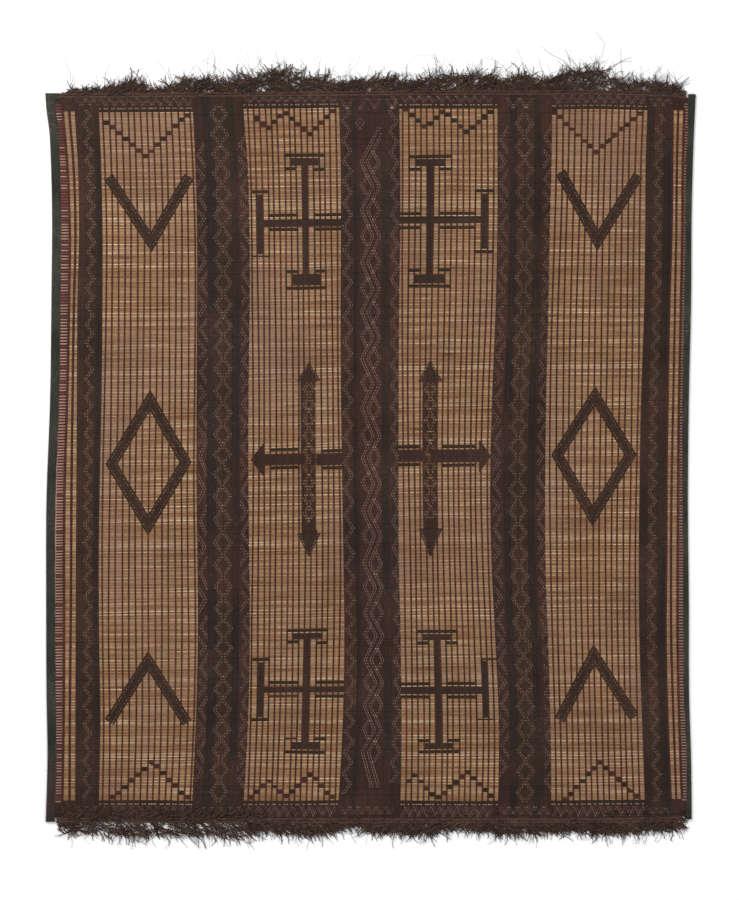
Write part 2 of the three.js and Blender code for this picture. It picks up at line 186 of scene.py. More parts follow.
@dataclass
class Chart:
    """The weaver's chart, and how it lies on the floor.

    Attributes:
        unit: One unit of the chart, in metres.
        middle: The chart's place that lies on the frame's own origin, before the shift.
        shift: How far the chart is moved in the frame, in metres.
    """

    unit: float = 0.0023
    middle: tuple[float, float] = (369.0, 457.5)
    shift: tuple[float, float] = (0.0, 0.0)
    names: tuple[str, ...] = tuple(POSTS)
    marks: Array = field(default_factory=lambda: np.array([flow(t, 480.0) for t in POSTS.values()]))

    @classmethod
    def on_frame(cls) -> "Chart":
        """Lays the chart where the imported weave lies."""
        low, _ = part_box("woven_mat")
        return cls(shift=(low.x + 0.74233, low.y + 0.830))

    def mark(self, name: str) -> float:
        """The nominal X of a post."""
        return float(self.marks[self.names.index(name)])

    def across(self, nominal: Array, down: Array) -> Array:
        """Bends nominal places with the posts.

        Args:
            nominal: One nominal X for each column.
            down: The Y of each row and column.

        Returns:
            The X of each row and column.
        """
        stretch = np.clip(np.searchsorted(self.marks, nominal, side="right") - 1, 0, len(self.marks) - 2)
        share = (nominal - self.marks[stretch]) / (self.marks[stretch + 1] - self.marks[stretch])
        places = np.empty_like(down)
        for k in np.unique(stretch):
            columns = stretch == k
            left = flow(POSTS[self.names[k]], down[:, columns])
            right = flow(POSTS[self.names[k + 1]], down[:, columns])
            places[:, columns] = left + share[columns] * (right - left)
        return places

    def grid(self, nominal: Array, rows: Array) -> tuple[Array, Array]:
        """Places a grid of columns and rows.

        Args:
            nominal: The nominal X of each column.
            rows: The rows, counted in pairs of reeds from the top.

        Returns:
            The X and the Y in the chart, with one line for each row.
        """
        nominal = np.asarray(nominal, float)
        level = WEAVE_TOP + rows * (WEAVE_BOTTOM - WEAVE_TOP) / PAIRS
        drift = np.stack([flow(tuple(zip(DRIFT_LEVELS, column)), level) for column in zip(*DRIFT)], axis=1)
        weights = np.stack([np.interp(nominal, DRIFT_PLACES, np.eye(8)[k]) for k in range(8)])
        down = level[:, None] + drift @ weights
        turn = rows[:, None]
        calm = np.clip(np.minimum(turn, PAIRS - turn) / 6, 0, 1)
        ripple = 0.3 * np.sin(nominal / 37 + turn * 0.21) + 0.16 * np.sin(nominal / 13.7 - turn * 0.57 + 1.3)
        down = down + calm * ripple
        stray = 0.3 * np.sin(0.35 * nominal + turn * 0.051) + 0.2 * np.sin(0.83 * nominal + turn * 0.033 + 2)
        return self.across(nominal, down) + stray, down

    def rim(self, across: Array, down: Array) -> Array:
        """How far the weave lifts over the folded bindings, in millimetres."""
        left = across - flow(POSTS["left_edge"], down)
        right = flow(POSTS["right_edge"], down) - across
        inwards = np.minimum(left, right) * self.unit * 1000
        return RIM_LIFT * np.clip((31 - inwards) / 9, 0, 1)

    def lay(self, across: Array, down: Array, height: Array) -> Array:
        """Turns places of the chart into points in metres.

        Args:
            across: X in the chart.
            down: Y in the chart.
            height: The height above the floor in millimetres.

        Returns:
            An array with one point in each row.
        """
        x = (across - self.middle[0]) * self.unit + self.shift[0]
        y = (self.middle[1] - down) * self.unit + self.shift[1]
        z = np.broadcast_to(height, x.shape) * 0.001
        return np.stack([x, y, z], axis=-1).reshape(-1, 3)


def put_in_scene(name: str, data: bpy.types.ID) -> Object:
    """Makes an object of a mesh, a light or a camera and links it to the scene."""
    thing = bpy.data.objects.new(name, data)
    bpy.context.scene.collection.objects.link(thing)
    return thing


def new_piece(
    name: str,
    points: Array,
    faces: Array,
    material: Material,
) -> Object:
    """Makes a smooth mesh object from arrays.

    Args:
        name: The piece's name.
        points: Its points in metres.
        faces: The corners of its faces, all with the same number of corners.
        material: Its finish.

    Returns:
        The object, at the origin.
    """
    mesh = bpy.data.meshes.new(name)
    mesh.vertices.add(len(points))
    mesh.vertices.foreach_set("co", np.ascontiguousarray(points, dtype=np.float32).ravel())
    mesh.loops.add(faces.size)
    mesh.loops.foreach_set("vertex_index", np.ascontiguousarray(faces, dtype=np.int32).ravel())
    mesh.polygons.add(len(faces))
    mesh.polygons.foreach_set("loop_start", np.arange(0, faces.size, faces.shape[1], dtype=np.int32))
    mesh.update(calc_edges=True)
    mesh.polygons.foreach_set("use_smooth", np.ones(len(faces), dtype=bool))
    mesh.materials.append(material)
    return put_in_scene(name, mesh)


def paint_corners(mesh: bpy.types.Mesh, name: str, colours: Array) -> None:
    """Gives each corner of a mesh a colour from an array of shape faces by corners by three."""
    layer = mesh.attributes.new(name, "FLOAT_COLOR", "CORNER")
    full = np.concatenate([colours, np.ones((*colours.shape[:-1], 1))], axis=-1)
    layer.data.foreach_set("color", full.astype(np.float32).ravel())


def paint_points(mesh: bpy.types.Mesh, name: str, values: Array) -> None:
    """Gives each point of a mesh a number, or a vector where the array has three columns."""
    kind = "FLOAT" if values.ndim == 1 else "FLOAT_VECTOR"
    layer = mesh.attributes.new(name, kind, "POINT")
    layer.data.foreach_set("value" if values.ndim == 1 else "vector", values.astype(np.float32).ravel())


def set_weave_map(mesh: bpy.types.Mesh, places: Array) -> None:
    """Sets the map that follows the weave, from an array of shape faces by corners by two."""
    layer = mesh.uv_layers.new(name="weave")
    layer.data.foreach_set("uv", places.astype(np.float32).ravel())


def linear(red: float, green: float, blue: float) -> Array:
    """A screen colour, from 0 to 255, as the linear colour that a shader takes."""
    share = np.array([red, green, blue]) / 255
    return np.where(share <= 0.04045, share / 12.92, ((share + 0.055) / 1.055) ** 2.4)


class Dye(Enum):
    """The dyes of the leather, each as a screen colour."""

    BROWN = (54, 37, 30)
    UMBER = (56, 40, 29)
    PLUM = (57, 37, 31)
    SLATE = (45, 34, 29)
    RUST = (70, 41, 32)
    LACE = (70, 39, 30)
    BLACK = (47, 36, 24)
    RED = (80, 35, 31)
    ROSE = (100, 64, 56)

    @property
    def shade(self) -> Array:
        """The dye as a linear colour."""
        return linear(*self.value)


class Painter:
    """Adds and links the nodes of one node tree."""

    def __init__(self, tree: bpy.types.NodeTree) -> None:
        """Starts on an empty tree."""
        self.tree = tree

    def add(self, kind: str, inputs: dict | None = None, **settings: object) -> bpy.types.Node:
        """Adds a node.

        Args:
            kind: The node's type name.
            inputs: Values or sockets for its inputs, by name or number.
            **settings: The node's own settings.

        Returns:
            The node.
        """
        node = self.tree.nodes.new(kind)
        for key, value in settings.items():
            setattr(node, key, value)
        for key, value in (inputs or {}).items():
            socket = node.inputs[key]
            if isinstance(value, Socket):
                self.tree.links.new(value, socket)
            else:
                socket.default_value = value
        return node

    def math(self, operation: str, a: float | Socket, b: float | Socket = 0.0) -> Socket:
        """Adds a Math node and returns its value."""
        return self.add("ShaderNodeMath", {0: a, 1: b}, operation=operation).outputs[0]

    def times(self, a: float | Socket, b: float | Socket) -> Socket:
        """Multiplies two values."""
        return self.math("MULTIPLY", a, b)

    def plus(self, a: float | Socket, b: float | Socket) -> Socket:
        """Adds two values."""
        return self.math("ADD", a, b)

    def minus(self, a: float | Socket, b: float | Socket) -> Socket:
        """Takes the second value from the first."""
        return self.math("SUBTRACT", a, b)

    def vector(self, x: float | Socket = 0.0, y: float | Socket = 0.0, z: float | Socket = 0.0) -> Socket:
        """Joins three values to a vector."""
        return self.add("ShaderNodeCombineXYZ", {0: x, 1: y, 2: z}).outputs[0]

    def split(self, vector: Socket) -> bpy.types.NodeOutputs:
        """The three parts of a vector."""
        return self.add("ShaderNodeSeparateXYZ", {0: vector}).outputs

    def attribute(self, name: str, output: str = "Fac") -> Socket:
        """Reads an attribute of the mesh."""
        return self.add("ShaderNodeAttribute", None, attribute_name=name).outputs[output]

    def chance(self, number: Socket) -> Socket:
        """A random value for each number."""
        return self.add("ShaderNodeTexWhiteNoise", {"W": number}, noise_dimensions="1D").outputs[0]

    def blend(self, share: float | Socket, a: object, b: object, way: str = "MIX") -> Socket:
        """Mixes two colours and returns the result."""
        node = self.add("ShaderNodeMix", None, data_type="RGBA", blend_type=way)
        for number, value in ((0, share), (6, a), (7, b)):
            if isinstance(value, Socket):
                self.tree.links.new(value, node.inputs[number])
            else:
                node.inputs[number].default_value = value if number == 0 else (*value, 1)
        return node.outputs[2]

    def ramp(self, value: Socket, stops: tuple[tuple[float, tuple[float, ...]], ...]) -> Socket:
        """Runs a value through a colour ramp with the given stops."""
        node = self.add("ShaderNodeValToRGB", {0: value})
        ramp = node.color_ramp
        while len(ramp.elements) < len(stops):
            ramp.elements.new(0.5)
        for element, (place, colour) in zip(ramp.elements, stops):
            element.position = place
            element.color = (*colour, 1)
        return node.outputs[0]

    def span(
        self, value: Socket, low: float, high: float, to_low: float = 0.0, to_high: float = 1.0
    ) -> Socket:
        """Maps a span of values onto another, clamped."""
        keys = {"Value": value, "From Min": low, "From Max": high, "To Min": to_low, "To Max": to_high}
        return self.add("ShaderNodeMapRange", keys).outputs[0]

    def place(self, scale: tuple[float, float, float]) -> Socket:
        """The piece's own coordinates, stretched."""
        own = self.add("ShaderNodeTexCoord").outputs["Object"]
        return self.add("ShaderNodeMapping", {"Vector": own, "Scale": scale}).outputs[0]

    def noise(self, vector: Socket, scale: float, detail: float = 2.0) -> Socket:
        """A noise's value."""
        return self.add("ShaderNodeTexNoise", {"Vector": vector, "Scale": scale, "Detail": detail}).outputs[0]


def weathering_group() -> bpy.types.NodeTree:
    """Builds the shared effect of fading, dust and rubbing.

    Returns:
        A shader node group that takes a colour and gives it back weathered, with the mask of wear.
    """
    group = bpy.data.node_groups.new("weathering", "ShaderNodeTree")
    face = group.interface
    face.new_socket(name="Colour", in_out="INPUT", socket_type="NodeSocketColor")
    for name, value in (("Fading", 0.3), ("Patch Size", 5.0), ("Dust", 0.2)):
        socket = face.new_socket(name=name, in_out="INPUT", socket_type="NodeSocketFloat")
        socket.default_value = value
    face.new_socket(name="Colour", in_out="OUTPUT", socket_type="NodeSocketColor")
    face.new_socket(name="Wear", in_out="OUTPUT", socket_type="NodeSocketFloat")
    paint = Painter(group)
    given = paint.add("NodeGroupInput").outputs
    own = paint.add("ShaderNodeTexCoord").outputs["Object"]
    patches = paint.noise(own, given["Patch Size"], 3.0)
    fine = paint.noise(own, 160.0, 3.0)
    lightness = paint.span(patches, 0.3, 0.72, 0.72, 1.3)
    faded = paint.blend(1.0, given["Colour"], lightness, "MULTIPLY")
    varied = paint.blend(given["Fading"], given["Colour"], faded)
    wear = paint.times(paint.span(fine, 0.5, 0.72), paint.span(patches, 0.4, 0.66))
    dusty = paint.blend(paint.times(wear, given["Dust"]), varied, tuple(linear(176, 160, 140)))
    paint.add("NodeGroupOutput", {"Colour": dusty, "Wear": wear})
    return group


@dataclass(frozen=True)
class Finish:
    """What every finish has.

    Attributes:
        name: The material's name.
        roughness: The least roughness.
        fading: How far the colour varies from patch to patch.
        dust: How far the spots of wear turn to dust.
    """

    name: str
    roughness: float = 0.6
    fading: float = 0.5
    dust: float = 0.2

    def start(self) -> tuple[Material, Painter, bpy.types.Node]:
        """Makes an empty material with its shader."""
        material = bpy.data.materials.new(self.name)
        material.use_nodes = True
        material.node_tree.nodes.clear()
        paint = Painter(material.node_tree)
        shader = paint.add("ShaderNodeBsdfPrincipled")
        paint.add("ShaderNodeOutputMaterial", {"Surface": shader.outputs[0]})
        return material, paint, shader

    def finish(
        self,
        paint: Painter,
        shader: bpy.types.Node,
        colour: Socket,
        relief: Socket,
        depth: float,
        patch: float = 5.0,
    ) -> None:
        """Weathers a colour and joins it, the roughness and the bump to the shader.

        Args:
            paint: The material's painter.
            shader: The material's shader.
            colour: The colour before weathering.
            relief: The height for the bump.
            depth: The bump's distance in metres.
            patch: The scale of the faded patches.
        """
        keys = {"Colour": colour, "Fading": self.fading, "Patch Size": patch, "Dust": self.dust}
        weather = paint.add("ShaderNodeGroup", None, node_tree=bpy.data.node_groups["weathering"])
        for key, value in keys.items():
            if isinstance(value, Socket):
                paint.tree.links.new(value, weather.inputs[key])
            else:
                weather.inputs[key].default_value = value
        links = paint.tree.links
        links.new(weather.outputs["Colour"], shader.inputs["Base Color"])
        rough = paint.span(weather.outputs["Wear"], 0.0, 1.0, self.roughness, self.roughness + 0.2)
        links.new(rough, shader.inputs["Roughness"])
        bump = paint.add("ShaderNodeBump", {"Strength": 1.0, "Distance": depth, "Height": relief})
        links.new(bump.outputs[0], shader.inputs["Normal"])


@dataclass(frozen=True)
class ReedFinish(Finish):
    """Dry straw reeds: each one its own tone, streaked along its length, with painted shade in the grooves.
    """

    def build(self) -> Material:
        """Builds the material."""
        material, paint, shader = self.start()
        shader.inputs["Specular IOR Level"].default_value = 0.2
        count = paint.attribute("reed")
        number = paint.math("FLOOR", count)
        phase = paint.math("FRACT", count)
        middle = paint.math("ABSOLUTE", paint.minus(phase, 0.5))
        own = paint.split(paint.place((1.0, 1.0, 1.0)))
        streak = paint.vector(paint.times(own[0], 13.0), number)
        along = paint.noise(streak, 1.0, 2.5)
        fibre = paint.vector(paint.times(own[0], 90.0), paint.times(count, 3.0))
        fine = paint.noise(fibre, 1.0, 2.0)
        single = paint.chance(number)
        tone = paint.plus(paint.times(along, 0.75), paint.times(single, 0.30))
        tone = paint.plus(tone, paint.times(fine, 0.12))
        colour = paint.ramp(tone, (
            (0.30, tuple(linear(98, 60, 34))),
            (0.46, tuple(linear(146, 106, 70))),
            (0.62, tuple(linear(166, 129, 92))),
            (0.80, tuple(linear(206, 178, 146))),
        ))
        wide = paint.noise(paint.place((1.0, 0.55, 1.0)), 4.0, 2.0)
        colour = paint.blend(paint.span(wide, 0.44, 0.66, 0.0, 0.55), colour, tuple(linear(152, 120, 100)))
        rusty = paint.noise(paint.place((0.5, 2.0, 1.0)), 9.0, 3.0)
        colour = paint.blend(paint.span(rusty, 0.56, 0.74, 0.0, 0.5), colour, tuple(linear(136, 84, 44)))
        parity = paint.math("FRACT", paint.times(number, 0.5))
        lower = paint.times(parity, 0.62)
        colour = paint.blend(lower, colour, tuple(linear(112, 76, 48)), "MULTIPLY")
        colour = paint.blend(paint.times(parity, 0.3), colour, tuple(linear(120, 84, 56)))
        # Painted shade: darker in the grooves between the reeds.
        groove_shade = paint.span(middle, 0.2, 0.47, 0.0, 0.86)
        colour = paint.blend(groove_shade, colour, tuple(linear(64, 40, 26)))
        stain = paint.attribute("stain")
        colour = paint.blend(stain, colour, tuple(linear(170, 136, 124)))
        # Painted shade from the mesh's shade attribute: darker under the two ladders and in the hem rows.
        shade = paint.attribute("shade")
        colour = paint.blend(1.0, colour, shade, "MULTIPLY")
        relief = paint.plus(fine, paint.times(along, 0.5))
        self.finish(paint, shader, colour, relief, 0.0002, 7.0)
        return material


@dataclass(frozen=True)
class LeatherFinish(Finish):
    """Dyed goat leather strips, crowned across, with painted shade in the creases where they pass over the
    reeds and along the seams between them.
    """

    def build(self) -> Material:
        """Builds the material."""
        material, paint, shader = self.start()
        shader.inputs["Specular IOR Level"].default_value = 0.1
        dye = paint.attribute("dye", "Color")
        weave = paint.add("ShaderNodeUVMap", None, uv_map="weave").outputs[0]
        parts = paint.split(weave)
        strip = paint.math("FRACT", parts[0])
        crown = paint.math("ABSOLUTE", paint.minus(strip, 0.5))
        # How near a strip's edge: used for the painted shade along the seams and for the crown's bump.
        seam_shade_and_bump = paint.span(crown, 0.32, 0.5, 0.0, 1.0)
        number = paint.math("FLOOR", parts[0])
        single = paint.chance(number)
        streak = paint.vector(paint.times(number, 1.7), paint.times(parts[1], 0.11))
        along = paint.noise(streak, 1.0, 2.0)
        light = paint.plus(paint.times(single, 0.26), paint.times(along, 0.5))
        colour = paint.blend(1.0, dye, paint.span(light, 0.1, 0.7, 0.72, 1.34), "MULTIPLY")
        # Painted shade: darker in the creases between the reeds, in some deeper creases between pairs and
        # along the seams between strips.
        rib = paint.math("ABSOLUTE", paint.minus(paint.math("FRACT", parts[1]), 0.5))
        groove_shade = paint.span(rib, 0.24, 0.5, 0.0, 0.55)
        pair = paint.times(parts[1], 0.5)
        number = paint.math("FLOOR", paint.plus(pair, 0.5))
        deep = paint.chance(number)
        deep_crease_shade = paint.math("ABSOLUTE", paint.minus(pair, number))
        deep_crease_shade = paint.times(paint.span(deep_crease_shade, 0.05, 0.2, 1.0, 0.0), paint.span(deep, 0.7, 0.9))
        groove_shade = paint.math("MAXIMUM", groove_shade, paint.times(deep_crease_shade, 0.85))
        colour = paint.blend(groove_shade, colour, tuple(linear(24, 17, 14)))
        colour = paint.blend(paint.times(seam_shade_and_bump, 0.4), colour, tuple(linear(26, 19, 17)))
        grain = paint.noise(paint.place((1.0, 0.6, 1.0)), 900.0, 2.0)
        relief = paint.minus(paint.times(grain, 0.3), seam_shade_and_bump)
        self.finish(paint, shader, colour, relief, 0.0003, 6.0)
        return material


@dataclass(frozen=True)
class ClothFinish(Finish):
    """Plain-woven cloth of the bindings, with a painted highlight along its fold and its inner edge."""

    body: tuple[int, int, int] = (47, 46, 40)
    pale: tuple[int, int, int] = (84, 84, 76)
    dark: tuple[int, int, int] = (33, 33, 29)

    def build(self) -> Material:
        """Builds the material."""
        material, paint, shader = self.start()
        shader.inputs["Specular IOR Level"].default_value = 0.2
        across = paint.add("ShaderNodeTexWave", {"Vector": paint.place((1.0, 1.0, 1.0)),
            "Scale": 210.0, "Distortion": 1.2, "Detail": 1.0})
        along = paint.add(
            "ShaderNodeTexWave",
            {"Vector": paint.place((1.0, 1.0, 1.0)), "Scale": 210.0, "Distortion": 1.2, "Detail": 1.0},
            bands_direction="Y",
        )
        threads = paint.times(across.outputs["Fac"], along.outputs["Fac"])
        blotch = paint.noise(paint.place((1.0, 0.5, 1.0)), 22.0, 3.0)
        slub = paint.noise(paint.place((6.0, 0.6, 1.0)), 60.0, 2.0)
        colour = paint.ramp(blotch, (
            (0.32, tuple(linear(*self.dark))),
            (0.52, tuple(linear(*self.body))),
            (0.74, tuple(linear(*self.body) * 1.35)),
        ))
        colour = paint.blend(paint.span(slub, 0.58, 0.76, 0.0, 0.26), colour, tuple(linear(*self.pale)))
        colour = paint.blend(paint.span(threads, 0.0, 0.5, 0.35, 0.0), colour, tuple(linear(*self.dark)))
        # Painted highlight: pale along the fold and the face's inner edge, broken up by the slub noise.
        edge = paint.attribute("edge")
        edge_highlight = paint.times(edge, paint.span(slub, 0.4, 0.62))
        colour = paint.blend(paint.times(edge_highlight, 0.6), colour, tuple(linear(*self.pale)))
        self.finish(paint, shader, colour, threads, 0.0003, 9.0)
        return material


@dataclass(frozen=True)
class StrandFinish(Finish):
    """Bare leather strands: brown near the root, almost black at the tip, with pale flecks of painted
    highlight.
    """

    root: tuple[int, int, int] = (64, 45, 37)
    tip: tuple[int, int, int] = (54, 40, 34)

    def build(self) -> Material:
        """Builds the material."""
        material, paint, shader = self.start()
        shader.inputs["Specular IOR Level"].default_value = 0.12
        along = paint.attribute("along")
        tint = paint.attribute("tint")
        colour = paint.ramp(along, ((0.0, tuple(linear(*self.root))), (0.75, tuple(linear(*self.tip)))))
        colour = paint.blend(1.0, colour, paint.span(tint, 0.0, 1.0, 0.45, 2.0), "MULTIPLY")
        fibre = paint.noise(paint.place((1.0, 1.0, 1.0)), 420.0, 3.0)
        # Painted highlight: pale flecks on the strands, from the same noise that gives their bump.
        colour = paint.blend(paint.span(fibre, 0.52, 0.75, 0.0, 0.35), colour, tuple(linear(92, 70, 56)))
        self.finish(paint, shader, colour, fibre, 0.0003, 12.0)
        return material


@dataclass
class Strips:
    """Leather strips side by side, over and under the reeds.

    Attributes:
        chart: The chart that they lie on.
        edges: The nominal left and right edge of each strip.
    """

    chart: Chart
    edges: Array

    def __post_init__(self) -> None:
        """Starts with every reed bare."""
        size = (len(self.edges), REEDS)
        self.low = np.ones((PIECES, *size))
        self.high = np.zeros((PIECES, *size))
        self.dye = np.broadcast_to(Dye.BROWN.shade, (*size, 3)).copy()
        across, down = self.chart.grid(self.edges.ravel(), np.arange(REEDS) / 2 + 0.25)
        self.left, self.right = across.T[::2], across.T[1::2]
        self.down = (down.T[::2] + down.T[1::2]) / 2
        self.middle = (self.left + self.right) / 2
        self.reeds = np.broadcast_to(np.arange(REEDS), size)

    @classmethod
    def between(cls, chart: Chart, low: float, high: float, count: int) -> "Strips":
        """Divides the space between two nominal places into strips."""
        bounds = np.linspace(low, high, count + 1)
        return cls(chart, np.stack([bounds[:-1], bounds[1:]], axis=1))

    def cover(self, where: Array, dye: Dye) -> None:
        """Covers the marked reeds of each strip whole."""
        self.low[:, where] = 1.0
        self.high[:, where] = 0.0
        self.low[0][where] = 0.0
        self.high[0][where] = 1.0
        self.dye[where] = dye.shade

    def share(self, place: Array) -> Array:
        """A place's share of each strip's width, clamped."""
        return np.clip((place - self.left) / (self.right - self.left), 0, 1)

    def lay(self, start: Array, end: Array, where: Array, dye: Dye) -> None:
        """Covers the marked reeds from one X to another."""
        low, high = self.share(start), self.share(end)
        fresh = where & (high > low + 0.05)
        self.low[0] = np.where(fresh, np.minimum(self.low[0], low), self.low[0])
        self.high[0] = np.where(fresh, np.maximum(self.high[0], high), self.high[0])
        self.dye[fresh] = dye.shade

    def cut(self, place: Array, where: Array, half: float = 0.42) -> None:
        """Bares a narrow gap around an X on the marked reeds."""
        low, high = self.share(place - half), self.share(place + half)
        hit = where & (high > low)
        for k in reversed(range(PIECES)):
            a, b = self.low[k].copy(), self.high[k].copy()
            split = hit & (low > a) & (high < b)
            for j in range(PIECES - 1, k, -1):
                before = high if j == k + 1 else self.low[j - 1]
                self.low[j] = np.where(split, before, self.low[j])
                self.high[j] = np.where(split, b if j == k + 1 else self.high[j - 1], self.high[j])
            self.low[k] = np.where(hit & (low <= a) & (high > a), high, a)
            self.high[k] = np.where(hit & (low > a) & (low < b), low, b)

    def dots(self, place: Array, where: Array, half: float = 0.34) -> None:
        """Bares a thin line of dots, wider on the first reed of each pair."""
        first = self.reeds % 2 == 0
        self.cut(place, where & first, half)
        self.cut(place, where & ~first, half * 0.62)

    def build(self, seed: int, sink: float = 0.0) -> Part:
        """Turns the strips into arrays.

        Args:
            seed: The seed of the small differences from strip to strip.
            sink: How far they lie lower than usual, in millimetres.

        Returns:
            The points, the faces, the weave map and the colours of the faces' corners.
        """
        rows = np.arange(4 * PAIRS + 1) / 4
        count = len(self.edges)
        across, down = self.chart.grid(self.edges.ravel(), rows)
        random = np.random.default_rng(seed)
        height = np.array(LEATHER_TOPS)[np.arange(len(rows)) % 4][:, None] - sink
        tilt = np.tile([0.12, -0.12], count)
        uneven = random.normal(0, 0.07, (len(rows), count)).repeat(2, axis=1)
        lift = self.chart.rim(across, down)
        points = self.chart.lay(across, down, height + tilt + uneven + lift)
        whole = (self.low[0] <= 0) & (self.high[0] >= 1)
        strip, reed = (index.repeat(2) for index in np.nonzero(whole))
        step = 2 * reed + np.tile([0, 1], len(reed) // 2)
        base = step * 2 * count + 2 * strip
        faces = np.stack([base + 2 * count, base + 2 * count + 1, base + 1, base], axis=1)
        ends = self.edges[strip][:, [0, 1, 1, 0]]
        levels = step[:, None] / 2 + np.array([0.5, 0.5, 0.0, 0.0])
        tints = self.dye[strip, reed]

        piece, strip, reed = np.nonzero((self.high - self.low > 0.04) & ~whole)
        cuts = np.stack([self.low[piece, strip, reed], self.high[piece, strip, reed]], axis=1)
        grid = points.reshape(len(rows), count, 2, 3)
        sides = grid[2 * reed[:, None] + np.arange(3), strip[:, None]]
        own = sides[:, :, :1] + cuts[:, None, :, None] * (sides[:, :, 1:] - sides[:, :, :1])
        corner = len(points) + 6 * np.arange(len(reed))[:, None, None]
        turn = np.array([[2, 3, 1, 0], [4, 5, 3, 2]])
        faces = np.concatenate([faces, (corner + turn).reshape(-1, 4)])
        wide = self.edges[strip, 1] - self.edges[strip, 0]
        marks = self.edges[strip, :1] + cuts * wide[:, None]
        ends = np.concatenate([ends, marks[:, [0, 1, 1, 0]].repeat(2, axis=0)])
        more = reed.repeat(2) + np.tile([0.0, 0.5], len(reed))
        levels = np.concatenate([levels, more[:, None] + np.array([0.5, 0.5, 0.0, 0.0])])
        tints = np.concatenate([tints, self.dye[strip, reed].repeat(2, axis=0)])
        weave = np.stack([ends / STRIP, levels], axis=-1)
        return np.concatenate([points, own.reshape(-1, 3)]), faces, weave, tints[:, None].repeat(4, axis=1)


def join_leather(name: str, parts: list[Part], material: Material) -> Object:
    """Joins arrays of leather into one piece without its unused points.

    Args:
        name: The piece's name.
        parts: Points, faces, weave map and colours of each part.
        material: The piece's finish.

    Returns:
        The piece.
    """
    offset = 0
    all_points, all_faces = [], []
    for points, faces, _, _ in parts:
        used = np.unique(faces)
        fresh = np.zeros(len(points), dtype=np.int64)
        fresh[used] = np.arange(len(used)) + offset
        all_points.append(points[used])
        all_faces.append(fresh[faces])
        offset += len(used)
    piece = new_piece(name, np.concatenate(all_points), np.concatenate(all_faces), material)
    set_weave_map(piece.data, np.concatenate([part[2] for part in parts]))
    paint_corners(piece.data, "dye", np.concatenate([part[3] for part in parts]))
    return piece


@dataclass
class Laces:
    """Narrow leather laces that run down a panel over every pair of reeds.

    Attributes:
        places: The nominal X of each lace.
        first: The first pair of reeds that they cross.
        last: The pair before which they end.
        half: Half of a lace's width.
        black: The places where a lace is black, as X, top and bottom.
        gone: The places where the laces are left out, as left, right, top and bottom.
    """

    places: Array
    first: int
    last: int
    half: float = 0.84
    black: list[tuple[float, float, float]] = field(default_factory=list)
    gone: list[tuple[float, float, float, float]] = field(default_factory=list)

    def build(self, chart: Chart, seed: int, cover: Strips | None = None) -> Part:
        """Turns the laces into arrays.

        Args:
            chart: The chart that they lie on.
            seed: The seed of their small differences.
            cover: The broad strips beside them, whose dye they take where they run through them.

        Returns:
            The points, the faces, the weave map and the colours of the faces' corners.
        """
        random = np.random.default_rng(seed)
        pairs = np.arange(self.first, self.last)
        rows = np.append((pairs[:, None] + np.array([0.0, 0.25, 0.75])).ravel(), self.last)
        kind = np.append(np.tile([0, 1, 2], len(pairs)), 0)
        count = len(self.places)
        across, down = chart.grid(self.places, rows)
        wide = np.array([0.78, 1.06, 0.98])[kind][:, None] * self.half
        wide = wide * random.normal(1, 0.07, across.shape)
        crown = np.array([3.45, 4.45, 4.2])[kind][:, None] + random.normal(0, 0.06, across.shape)
        sides = np.array([2.7, 3.5, 3.3])[kind][:, None] + np.zeros_like(across)
        lift = chart.rim(across, down)
        x = np.stack([across - wide, across, across + wide], axis=-1)
        z = np.stack([sides + lift, crown + lift, sides + lift], axis=-1)
        points = chart.lay(x, np.repeat(down[..., None], 3, axis=-1), z)
        axes = np.meshgrid(np.arange(len(rows) - 1), np.arange(count), np.arange(2), indexing="ij")
        step, lace, half = (axis.ravel() for axis in axes)
        base = (step * count + lace) * 3 + half
        faces = np.stack([base + 3 * count, base + 3 * count + 1, base + 1, base], axis=1)
        colours = self.colours(chart, random, pairs, cover)[lace, step // 3]
        u = lace[:, None] + half[:, None] * 0.5 + np.array([0.02, 0.48, 0.48, 0.02])
        v = 2 * rows[step][:, None] + np.array([0.66, 0.66, 0.0, 0.0])
        x, y = across[step, lace], down[step, lace]
        keep = np.ones(len(faces), bool)
        for left, right, top, bottom in self.gone:
            keep &= (x < left) | (x > right) | (y < top) | (y > bottom)
        weave = np.stack([u, v], axis=-1)
        return points, faces[keep], weave[keep], colours[keep][:, None, :].repeat(4, axis=1)

    def colours(
        self, chart: Chart, random: np.random.Generator, pairs: Array, cover: Strips | None
    ) -> Array:
        """The colour of each lace at each pair of reeds."""
        count = len(self.places)
        shade = np.broadcast_to(Dye.LACE.shade, (count, len(pairs), 3)).copy()
        shade *= random.normal(1, 0.12, (count, 1, 1)).clip(0.7, 1.3)
        across, down = chart.grid(self.places, pairs + 0.5)
        if cover is not None:
            centres = cover.edges.mean(axis=1)
            full = cover.high[0] - cover.low[0] > 0.6
            full = full[:, ::2] & full[:, 1::2]
            for i, place in enumerate(self.places):
                left = np.flatnonzero(centres < place)[-1]
                right = np.flatnonzero(centres > place)[0]
                beside = (full[left] & full[right])[pairs]
                shade[i, beside] = cover.dye[right, ::2][pairs][beside]
        for place, top, bottom in self.black:
            row = np.argmin(np.abs(down.mean(axis=1) - (top + bottom) / 2))
            at = int(np.argmin(np.abs(across[row] - place)))
            inside = (down[:, at] > top) & (down[:, at] < bottom)
            shade[at, inside] = Dye.BLACK.shade
        return shade


def wander(seed: int, pace: float) -> Array:
    """A slow, smooth swing between -1 and 1 along the reeds."""
    random = np.random.default_rng(seed)
    knots = np.arange(0, REEDS + pace, pace)
    return np.interp(np.arange(REEDS), knots, random.uniform(-1, 1, len(knots)))


def steady(first: float, period: float) -> tuple[float, ...]:
    """The Y of evenly spaced bends down to the lower border."""
    return tuple(np.arange(first, 802, period))


def swing(down: Array, start: float, period: float) -> Array:
    """A triangular wave from 0 to 1 and back, which is 0 at the start."""
    phase = ((down - start) / period) % 1.0
    return 1 - np.abs(2 * phase - 1)


